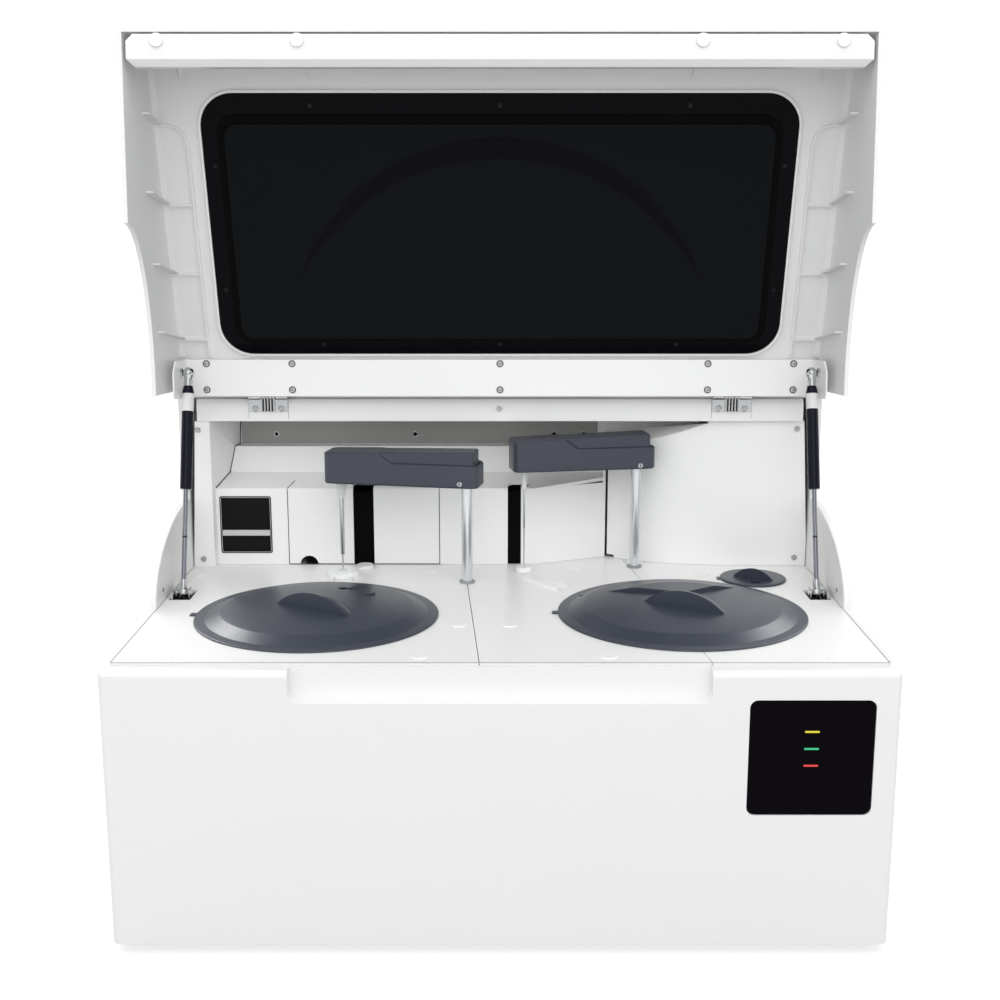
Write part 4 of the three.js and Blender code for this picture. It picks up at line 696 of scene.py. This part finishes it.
# The column's x and y, the height of the arm's underside over the deck, and the way the arm points.
ARMS = {"left": (-43, 351, 129, 168.6), "right": (184, 431, 140, 189.8)}
for side, (x, y, under, _) in ARMS.items():
    bottom, top = 244, DECK_TOP + under + 25.7
    column = tower([(6.2, bottom), (7, bottom + 0.8), (7, top - 0.6), (6.4, top)], x, y, 48)
    done(column, f"ground_column_{side}", f"column_{side}", "steel", ground_steel, f"column_{side}")
    guide = tower([(7.4, 262), (9.3, 262), (9.3, SEAT), (10.3, SEAT), (10.3, SEAT + 1.8), (9.8, SEAT + 2.3),
                   (7.9, SEAT + 2.3), (7.4, SEAT + 1.8)], x, y, 64, hollow=True)
    done(guide, f"steel_guide_{side}", "base", "dark_metal", sheet_grey, f"column_guide_{side}")
    arm = moulded(f"arm_cover_{side}", 2.6, 5, 28, clamp=False)
    done(arm, f"arm_moulding_{side}", f"arm_{side}", "slate_cover", slate, f"arm_cover_{side}")
for side, place, turn in (("left", (-52, 329.2, 467.3), -11.4), ("right", (187.3, 407.9, 477.5), 9.8)):
    arm_screw = screws([place], (90, 0, turn), r=3.5, high=1.4)
    done(arm_screw, f"arm_screw_{side}", f"arm_{side}", "steel", bright_steel)

# Probe holders and needles: a white conical nylon holder is screwed up under the arm's free end.
# It carries the needle, a thin steel tube that is thicker above and ends in a point.
nylon = finish("nylon_white", (0.74, 0.75, 0.74), 0.42, tone=0.03, grain=1800, depth=0.05)
for side, reach, holder, sleeve, needle in (
    ("left", 170, (7, 22), (3, 30), (1, 8)),
    ("right", 154, (4, 25), (1.5, 60), (0.9, 8)),
):
    x0, y0, under, turn = ARMS[side]
    x, y = x0 + reach * cos(radians(turn)), y0 + reach * sin(radians(turn))
    top = DECK_TOP + under - 0.3
    (hr, hh), (sr, sz), (nr, nz) = holder, sleeve, needle
    cone = tower([(sr + 0.4, top - hh), (sr + 1.8, top - hh), (hr * 0.8, top - hh * 0.62),
                  (hr, top - hh * 0.5), (hr, top - 0.5), (hr - 0.5, top)], x, y, 48)
    done(cone, f"nylon_holder_{side}", f"arm_{side}", "white_cover", nylon, f"probe_holder_{side}")
    tip, shoulder = DECK_TOP + nz, DECK_TOP + sz
    tube = tower([(0.3, tip), (nr, tip + 2.4), (nr, shoulder - sr), (sr * 0.8, shoulder - 0.6),
                  (sr, shoulder), (sr, top - hh + 0.2)], x, y, 32)
    done(tube, f"steel_needle_{side}", f"arm_{side}", "steel", bright_steel, f"needle_{side}")

# Wash stations: on the left a ring with two prongs and a pad, on the right a small cup with a channel.
# Both are moulded of bright white plastic and stand in the deck, over deep tubes that drain.
wash_white = finish("wash_white", (0.92, 0.925, 0.92), 0.3, tone=0.02, grain=1800, depth=0.04)
for side in ("left", "right"):
    cup = moulded(f"wash_station_{side}", 0.7)
    done(cup, f"wash_moulding_{side}", "base", "white_cover", wash_white, f"wash_station_{side}")

# Rear wall: white mouldings behind the deck, with the left pillar, the centre box and its ledge, the
# recess above it, and the curved sheet on the right. Black liners close the slots from behind; their black is
# painted shade, the dark that shows through the slots.
# The inner walls are the same white plastic as the covers; this brighter copy paints light into the shade of
# the recess under the lid.
inner_white_painted_light = finish("inner_white_painted_light", (0.9, 0.9, 0.89), 0.36, tone=0.025, spread=0.06, grain=1500, depth=0.03,
                    wave=0.012)
for node, name in (("rear_wall", "rear_wall_moulding"), ("right_wall", "right_wall_moulding")):
    done(moulded(node, 0.8), name, "base", "white_cover", inner_white_painted_light, node)
# Near-black with almost no sheen: painted shade, used for the slots, seams, gaps and holes below.
painted_shade_black = finish("painted_shade_black", (0.003, 0.003, 0.0035), 0.8, tone=0.3, grain=900, depth=0.1,
                    Specular_IOR_Level=0.05)
liners = [block(x0, x1, 446.6, 449.4, 332.6, 434, 0.4, 1) for x0, x1 in ((-204, -170), (8, 31))]
for x in (-207, 5):
    liners += [block(x0, x1, y0, 481, z0, z1, 0.4, 1) for x0, x1, y0, z0, z1 in (
        (x, x + 40, 450, 412, 414), (x, x + 40, 479, 414, 440),
        (x - 2, x, 450, 412, 436), (x + 40, x + 42, 450, 412, 436))]
liners.append(block(-268, -236, 448.4, 451, 332.6, 348, 0.4, 1))
done(joined(liners), "slot_shade_liners", "base", "dark_plastic", painted_shade_black)


def cord(points, r):
    """A thin line of painted shade along a seam: a small hexagon extruded from point to point, in mm."""
    x, y, z = points[0]
    bpy.ops.mesh.primitive_circle_add(vertices=6, radius=r / 1000, fill_type="NGON", location=at(x, y, z),
                                      rotation=(radians(-46), radians(14), 0))
    piece = settled(bpy.context.object)
    edit_all()
    for x2, y2, z2 in points[1:]:
        bpy.ops.mesh.extrude_region_move(
            TRANSFORM_OT_translate={"value": ((x2 - x) / 1000, (y2 - y) / 1000, (z2 - z) / 1000)})
        x, y, z = x2, y2, z2
    turned_out()
    return piece


# The door of the centre box and the edge of the ledge show as fine dark seams; thin dark strips and cords in
# them paint the shade of the gaps.
seams = joined([
    block(-291, -290, 443.8, 444.4, 333, 438.4, 0.05, 1),
    block(-83.6, -82.6, 443.8, 444.4, 333, 438.4, 0.05, 1),
    block(-291, -82.6, 443.8, 444.4, 332.3, 333.3, 0.05, 1),
    cord([(-290.5, 444, 439.2), (-284, 472, 444.2)], 0.5),
    cord([(-83.1, 444, 439.2), (-83.1, 472, 444.2)], 0.5),
    cord([(-388, 444, 439.4), (-380, 506, 450.3), (-371.5, 506, 487), (-368, 528, 487.3),
          (-366, 528, 533)], 0.8),
])
done(seams, "box_door_seams", "base", "dark_plastic", painted_shade_black)
# A grey painted sheet closes the recess above the ledge, with four small holes that have steel rings. Its
# grey is darker than the sheet's own, to paint in part the shade under the hinge beam.
band_grey_and_painted_shade = finish("band_grey_and_painted_shade", (0.36, 0.355, 0.34), 0.42, tone=0.1, grain=40, depth=0.05,
                    stretch=(0.2, 1, 12))
done(tablet(-365.4, 138, 487.6, 533, 527.2, 527.9, 0, 0.2), "recess_band", "base", "grey_sheet", band_grey_and_painted_shade)
washers, holes = [], []
for x in (-316, -120, 76, 118):
    washer = tower([(2.6, 0), (4.2, 0), (4.2, 0.5), (3.6, 0.8), (2.6, 0.8)], 0, MID, 32, hollow=True)
    # A dark disc in each ring paints the shade of the hole.
    hole_shade_disc = tower([(2.6, 0), (2.6, 0.3)], 0, MID, 32)
    for piece, kept in ((washer, washers), (hole_shade_disc, holes)):
        piece.rotation_euler = (radians(90), 0, 0)
        piece.location = at(x, 527.2, 501)
        kept.append(piece)
done(joined(holes), "band_hole_shades", "base", "dark_plastic", painted_shade_black)
rim_grey = finish("screw_grey", (0.55, 0.555, 0.56), 0.26, tone=0.08, grain=1800, depth=0.05, Metallic=0.85)
wall_screws = screws([(-405.8, 429.8, 521.7), (-405.8, 429.8, 343.4), (400.4, 435.8, 522.3),
                      (403.8, 435.8, 343.9)], (90, 0, 0), r=4, high=1.8)
done(joined(washers), "band_rings", "base", "steel", rim_grey)
done(wall_screws, "rear_wall_screws", "base", "steel", rim_grey)

# A plate of dark plastic film is stuck to the centre box, left of the slots.
# It is bare but for one plain light band and a thin light line along its edge.
sticker_dark = finish("sticker_dark", (0.009, 0.009, 0.01), 0.3, tone=0.1, grain=2400, depth=0.02,
                      Specular_IOR_Level=0.06)
sticker_light = finish("sticker_light", (0.56, 0.56, 0.55), 0.4, tone=0.05, grain=2400, depth=0.02)
plate = tablet(-383.8, -313.2, 348.2, 428.1, 443.4, 443.9, 3, 0.1)
done(plate, "box_sticker", "base", "black_panel", sticker_dark)
line = carved(tablet(-382.4, -314.6, 349.6, 426.7, 443.25, 443.6, 2.4, 0),
              tablet(-381.8, -315.2, 350.2, 426.1, 442, 445, 1.8, 0))
band = tablet(-381, -316, 373, 380.9, 443.2, 443.5, 1, 0.05)
done(joined([band, line]), "box_sticker_band", "base", "white_cover", sticker_light)

# Hinge beam: a channel folded of sheet steel and painted white, screwed across the housing.
# It carries the two hinges of bright steel, each a fixed and a moving leaf with knuckles between them.
# The channel takes the brightened inner white, painted light in the shade of the lid.
done(moulded("hinge_beam", 0.9), "hinge_beam_channel", "base", "white_sheet", inner_white_painted_light, "hinge_beam")
for side in ("left", "right"):
    for node, name, body in ((f"hinge_leaf_{side}", f"hinge_fixed_leaf_{side}", "base"),
                             (f"hinge_lid_leaf_{side}", f"hinge_moving_leaf_{side}", "lid")):
        done(moulded(node, 0.3, 2), name, body, "steel", bright_steel, node)
HINGES = (-309.5, 309.5)
fins = joined([block(h + x - 1.1, h + x + 1.1, 422.6, 428.6, 547.5, 574, 0.5, 2)
               for h in HINGES for x in (-8, -4, 0, 4, 8)])
done(fins, "hinge_knuckles", "base", "steel", rim_grey)
# Dark blocks behind the knuckles paint the shade in the gaps between them.
between = joined([block(h - 8.6, h + 8.6, 425.4, 428.4, 547.5, 571, 0.3, 1) for h in HINGES])
done(between, "hinge_knuckle_gap_shades", "base", "dark_metal", painted_shade_black)
edges = joined([block(h + x - 0.35, h + x + 0.35, 428.2, 428.6, 537.4, 560, 0.05, 1)
                for h in HINGES for x in (-26.6, 26.6)])
done(edges, "hinge_seat_seams", "base", "grey_sheet", rim_grey)
leaf_screws = screws([(h + x, 426.2, 551) for h in HINGES for x in (-17.3, 17.3)], (90, 0, 0), r=4.2)
done(leaf_screws, "hinge_leaf_screws", "base", "steel", rim_grey)
done(screws([(-1, 426.2, 551)], (90, 0, 0), r=3.4), "hinge_beam_screw", "base", "steel", rim_grey)

# Lid: a deep white moulding that is open below, with ribs beside the window and a folded front beam.
# Its pieces are placed closed, about the hinge axis, and turned open with it.
HINGE_Y, HINGE_Z, OPEN = 428, 567, 94
lid_white = finish("lid_white", (0.84, 0.84, 0.835), 0.4, tone=0.025, spread=0.05, grain=1300, depth=0.1,
                   wave=0.02)
beam_paint = finish("beam_paint", (0.86, 0.86, 0.855), 0.33, tone=0.02, grain=1900, depth=0.06, wave=0.02)
done(moulded("lid_shell", 1.2), "lid_moulding", "lid", "white_cover", lid_white, "lid_shell")
done(moulded("lid_front_beam", 1.2), "lid_beam_channel", "lid", "white_sheet", beam_paint, "lid_front_beam")


def opened(y, z):
    """A place of the closed lid, in mm from the hinge axis, as the y and z of the open one."""
    a = radians(-OPEN)
    return HINGE_Y + y * cos(a) - z * sin(a), HINGE_Z + y * sin(a) + z * cos(a)


# The window's plane rises to the rear in the closed lid, from its front edge behind the front beam.
PANEL_TILT, PANEL_EDGE = 19.586, (-423, -124.621)


def on_panel(piece):
    """Moves a piece from the window's own plane, x across and y up the slope, to the open lid."""
    piece.rotation_euler = (radians(PANEL_TILT - OPEN), 0, 0)
    piece.location = at(0, *opened(*PANEL_EDGE))
    return settled(piece)


def slab(cx, cy, wide, long, z0, z1, corner, width):
    """A rounded plate in the window's own plane, in mm."""
    bpy.ops.mesh.primitive_plane_add(size=1, location=(cx / 1000, cy / 1000, z0 / 1000))
    piece = bpy.context.object
    piece.scale = (wide / 1000, long / 1000, 1)
    settled(piece)
    edit_all()
    bpy.ops.mesh.bevel(offset=corner / 1000, segments=12, affect="VERTICES")
    bpy.ops.mesh.select_all(action="SELECT")
    bpy.ops.mesh.extrude_region_move(TRANSFORM_OT_translate={"value": (0, 0, (z1 - z0) / 1000)})
    turned_out()
    return soften(piece, width, 3) if width else piece


# Window: smoked acrylic with a flange that is screwed to the lid from inside and a raised middle,
# with a thin crescent moulded into it and a bright lip round its edge.
window_acrylic = finish("window_acrylic", (0.0035, 0.0042, 0.005), 0.1, tone=0.15, spread=0.04, grain=600,
                        depth=0.0, wave=0.015, Specular_IOR_Level=0.05)
flange_acrylic = finish("flange_acrylic", (0.0022, 0.0022, 0.0034), 0.12, tone=0.15, spread=0.04, grain=600,
                        depth=0.0, wave=0.015, Specular_IOR_Level=0.045)
flange = joined([slab(0, 218.3, 736, 338.2, -3.3, -0.4, 42, 0.8),
                 slab(0, 218.3, 715, 317, -0.6, 4.2, 32, 0.4)])
done(on_panel(flange), "window_flange", "lid", "tinted_window", flange_acrylic, "lid_window")
# A black slab round the raised middle paints the shade along the step between flange and pane.
step_shade_ring = slab(0, 223.5, 698, 298, -3.2, -4.4, 24, 0.6)
done(on_panel(step_shade_ring), "window_step_shade", "lid", "tinted_window", painted_shade_black)
pane = slab(0, 226, 682, 281, -3.2, -6.3, 18, 2.2)
done(on_panel(pane), "window_pane", "lid", "tinted_window", window_acrylic)
crescent = tower([(274.7, -7.0), (274.7, -6.1)], 0, MID + 377, 160)
holed(crescent, 291.7, 0, MID + 419.7, -10, 0, 160)
done(on_panel(crescent), "window_crescent", "lid", "tinted_window", flange_acrylic)
lip = carved(slab(0, 218.3, 744, 346, -4, 0.4, 45, 1.4), slab(0, 218.3, 736.6, 338.8, -8, 6, 42, 0))
done(on_panel(lip), "window_lip", "lid", "white_cover", beam_paint)
black_screw = finish("black_screw", (0.012, 0.012, 0.014), 0.3, tone=0.1, grain=2000, depth=0.05,
                     Metallic=0.8)
window_screws = screws([(x, MID + up, -3.2) for x, up in (
    (-232, 63.7), (0, 63.7), (232, 63.7), (-355, 138), (355, 138), (-356, 299), (356, 299),
    (-233.5, 374), (0, 374), (233.5, 374))], (180, 0, 0), r=3.4, high=1.6)
done(on_panel(window_screws), "window_screws", "lid", "dark_plastic", black_screw)

# Four small gussets are moulded on the lid behind the bumpers of the front beam, which they stiffen.
# Each is a pointed ridge, cut off just inside the lid's skin.
gussets = []
for x in (-388, -231, 231, 388):
    bpy.ops.mesh.primitive_cone_add(vertices=4, radius1=0.010, radius2=0.0005, depth=0.034,
                                    location=(x / 1000, 0.019, 0), rotation=(radians(-90), 0, 0))
    gusset = settled(bpy.context.object)
    edit_all()
    bpy.ops.mesh.bisect(plane_co=(0, 0, 0.001), plane_no=(0, 0, 1), clear_outer=True, use_fill=True)
    back_to_object()
    gussets.append(soften(gusset, 0.5, 2, 20))
done(on_panel(joined(gussets)), "lid_gussets", "lid", "white_cover", lid_white)

# Hinge plate: white painted sheet steel across the lid, screwed in two rows, with a tab at each end
# that carries the ball stud of a strut.
# The plate takes the brightened inner white as well, painted light in the shade of the lid.
done(moulded("lid_hinge_plate", 0.5, 2), "hinge_plate_sheet", "lid", "white_sheet", inner_white_painted_light,
     "lid_hinge_plate")


def on_lid(piece, x, y, z):
    """Puts a piece that looks up at a closed place below the lid, and turns it open."""
    piece.rotation_euler = (radians(180 - OPEN), 0, 0)
    piece.location = at(x, *opened(y, z))
    return settled(piece)


PLATE_ROWS = [(x, y, -24.1) for x in (-385.5, -273, 0, 273, 385.5) for y in (-44.7, -10.5)]
plate_screws = joined([on_lid(screw(r=3.7, high=1.9), *place) for place in PLATE_ROWS])
done(plate_screws, "hinge_plate_screws", "lid", "steel", rim_grey)
# A dark ring sits round each screw of the plate and darkens the plate round its head.
rings = [on_lid(tower([(3.5, -0.2), (4.7, -0.2), (4.6, 0.3), (3.5, 0.3)], 0, MID, 32, hollow=True), *place)
         for place in PLATE_ROWS]
done(joined(rings), "hinge_plate_screw_rings", "lid", "dark_metal", dark_metal)

# Gas struts: a black tube with a bare white sleeve near its top, a chromed rod, and a chromed ball
# fitting at each end. The rod's fitting turns on the bracket below the deck panel.
strut_black = finish("strut_black", (0.006, 0.006, 0.015), 0.14, tone=0.1, grain=1800, depth=0.02,
                     Specular_IOR_Level=0.2)
# The chromed rod gets a dark steel colour that paints in the dark room it reflects.
rod_dark_painted_reflection = finish("rod_dark_painted_reflection", (0.30, 0.31, 0.36), 0.16, tone=0.05, spread=0.04, grain=2400, depth=0.02,
                   stretch=(1, 1, 0.03), Metallic=1.0)
chrome = finish("chrome", (0.62, 0.63, 0.64), 0.12, tone=0.02, spread=0.03, grain=1500, depth=0.0,
                Metallic=1.0)
sleeve_white = finish("sleeve_white", (0.74, 0.74, 0.73), 0.45, tone=0.02, grain=2200, depth=0.03)
STRUT_X = 401
BALL = opened(-33.9, -59.5)
PIVOT = (286, 336)
SPAN = hypot(BALL[0] - PIVOT[0], BALL[1] - PIVOT[1])
LEAN = asin((BALL[0] - PIVOT[0]) / SPAN)
TUBE_LONG, TUBE_FROM_BALL = 133.5, 17


def strut_piece(piece, s):
    """Tilts a piece that was drawn upright on the lower pivot to the line of the strut."""
    piece.rotation_euler = (-LEAN, 0, 0)
    piece.location = at(s * STRUT_X, *PIVOT)
    return settled(piece)


for side, s in (("left", -1), ("right", 1)):
    rod = tower([(2.2, 15), (3, 15.8), (3, 169)], 0, MID, 40)
    low_end = tower([(3, -2), (4.3, 0), (4.3, 15), (3.9, 16.8)], 0, MID, 40)
    low_eye = tower([(4.4, -5.6), (5.4, -4.6), (7, -2), (7, 2), (5.4, 4.6), (4.4, 5.6)], 0, MID, 32)
    low_eye.rotation_euler = (0, radians(90), 0)
    done(strut_piece(rod, s), f"strut_bright_rod_{side}", f"strut_rod_{side}", "steel", rod_dark_painted_reflection)
    fitting = joined([low_end, settled(low_eye)])
    done(strut_piece(fitting, s), f"strut_rod_end_{side}", f"strut_rod_{side}", "steel", chrome,
         f"strut_rod_{side}")
    collar = tower([(3.05, 70), (3.15, 70.2), (3.15, 71.8), (3.05, 72)], 0, MID, 32)
    done(strut_piece(collar, s), f"strut_rod_mark_{side}", f"strut_rod_{side}", "dark_metal", dark_metal)
    t1 = SPAN - TUBE_FROM_BALL
    t0 = t1 - TUBE_LONG
    body = tower([(3.6, t0), (6.4, t0), (7.5, t0 + 1.2), (7.5, t1 - 8), (7.2, t1 - 6.4), (5.8, t1)],
                 0, MID, 48)
    done(strut_piece(body, s), f"strut_black_tube_{side}", f"strut_tube_{side}", "tube_black", strut_black,
         f"strut_tube_{side}")
    s0 = t1 - (33 if side == "left" else 30)
    sleeve = tower([(7.4, s0), (7.68, s0 + 0.1), (7.68, t1 - 10.1), (7.4, t1 - 10)],
                   0, MID, 48, hollow=True)
    done(strut_piece(sleeve, s), f"strut_sleeve_{side}", f"strut_tube_{side}", "white_cover", sleeve_white)
    neck = tower([(5, t1 - 1), (5.4, t1), (5.4, SPAN - 8.5), (5, SPAN - 7.4), (6.1, SPAN - 5),
                  (7.1, SPAN - 3), (7.7, SPAN), (7.1, SPAN + 3), (5.6, SPAN + 5.3), (2, SPAN + 7.4)],
                 0, MID, 40)
    stud = tower([(2.6, 6), (2.6, 7), (5.4, 7.1), (6.6, 8), (6.6, 10.6), (5.9, 11.3)], 0, MID, 6)
    stud.rotation_euler = (0, radians(s * 90), 0)
    stud.location = (0, 0, SPAN / 1000)
    socket = strut_piece(joined([neck, stud]), s)
    done(socket, f"strut_ball_socket_{side}", f"strut_tube_{side}", "steel", chrome)
    cheeks = [block(s * STRUT_X + x - 1.2, s * STRUT_X + x + 1.2, 279, 293, 324, 342, 1.1, 3)
              for x in (-8, 8)]
    bolt = tower([(4, -10.6), (4, -8.4), (2, -8.4), (2, 8.4), (4.4, 8.4), (4.4, 10.6)], 0, MID, 24)
    bolt.rotation_euler = (0, radians(90), 0)
    bolt.location = at(s * STRUT_X, *PIVOT)
    done(joined([*cheeks, bolt]), f"strut_clevis_{side}", "base", "steel", chrome)
    done(moulded(f"strut_bracket_{side}", 0.3, 2), f"strut_bracket_plate_{side}", "base", "steel",
         bright_steel, f"strut_bracket_{side}")

# Back of the housing: a black fan stands behind the grille, with its rotor in a square frame.
# The mains inlet and a rocker switch are of the same black plastic and snap into the rear cover.
fan_black = finish("fan_black", (0.015, 0.015, 0.016), 0.5, tone=0.15, grain=1500, depth=0.1)
done(moulded("fan_frame", 0.6), "fan_housing", "base", "dark_plastic", fan_black, "fan_frame")
done(moulded("fan_rotor", 0.4, 2), "fan_blades", "fan_rotor", "dark_plastic", fan_black, "fan_rotor")
done(moulded("mains_inlet", 0.6), "inlet_socket", "base", "dark_plastic", fan_black, "mains_inlet")
done(moulded("power_switch", 0.6), "switch_rocker", "power_switch", "dark_plastic", fan_black, "power_switch")
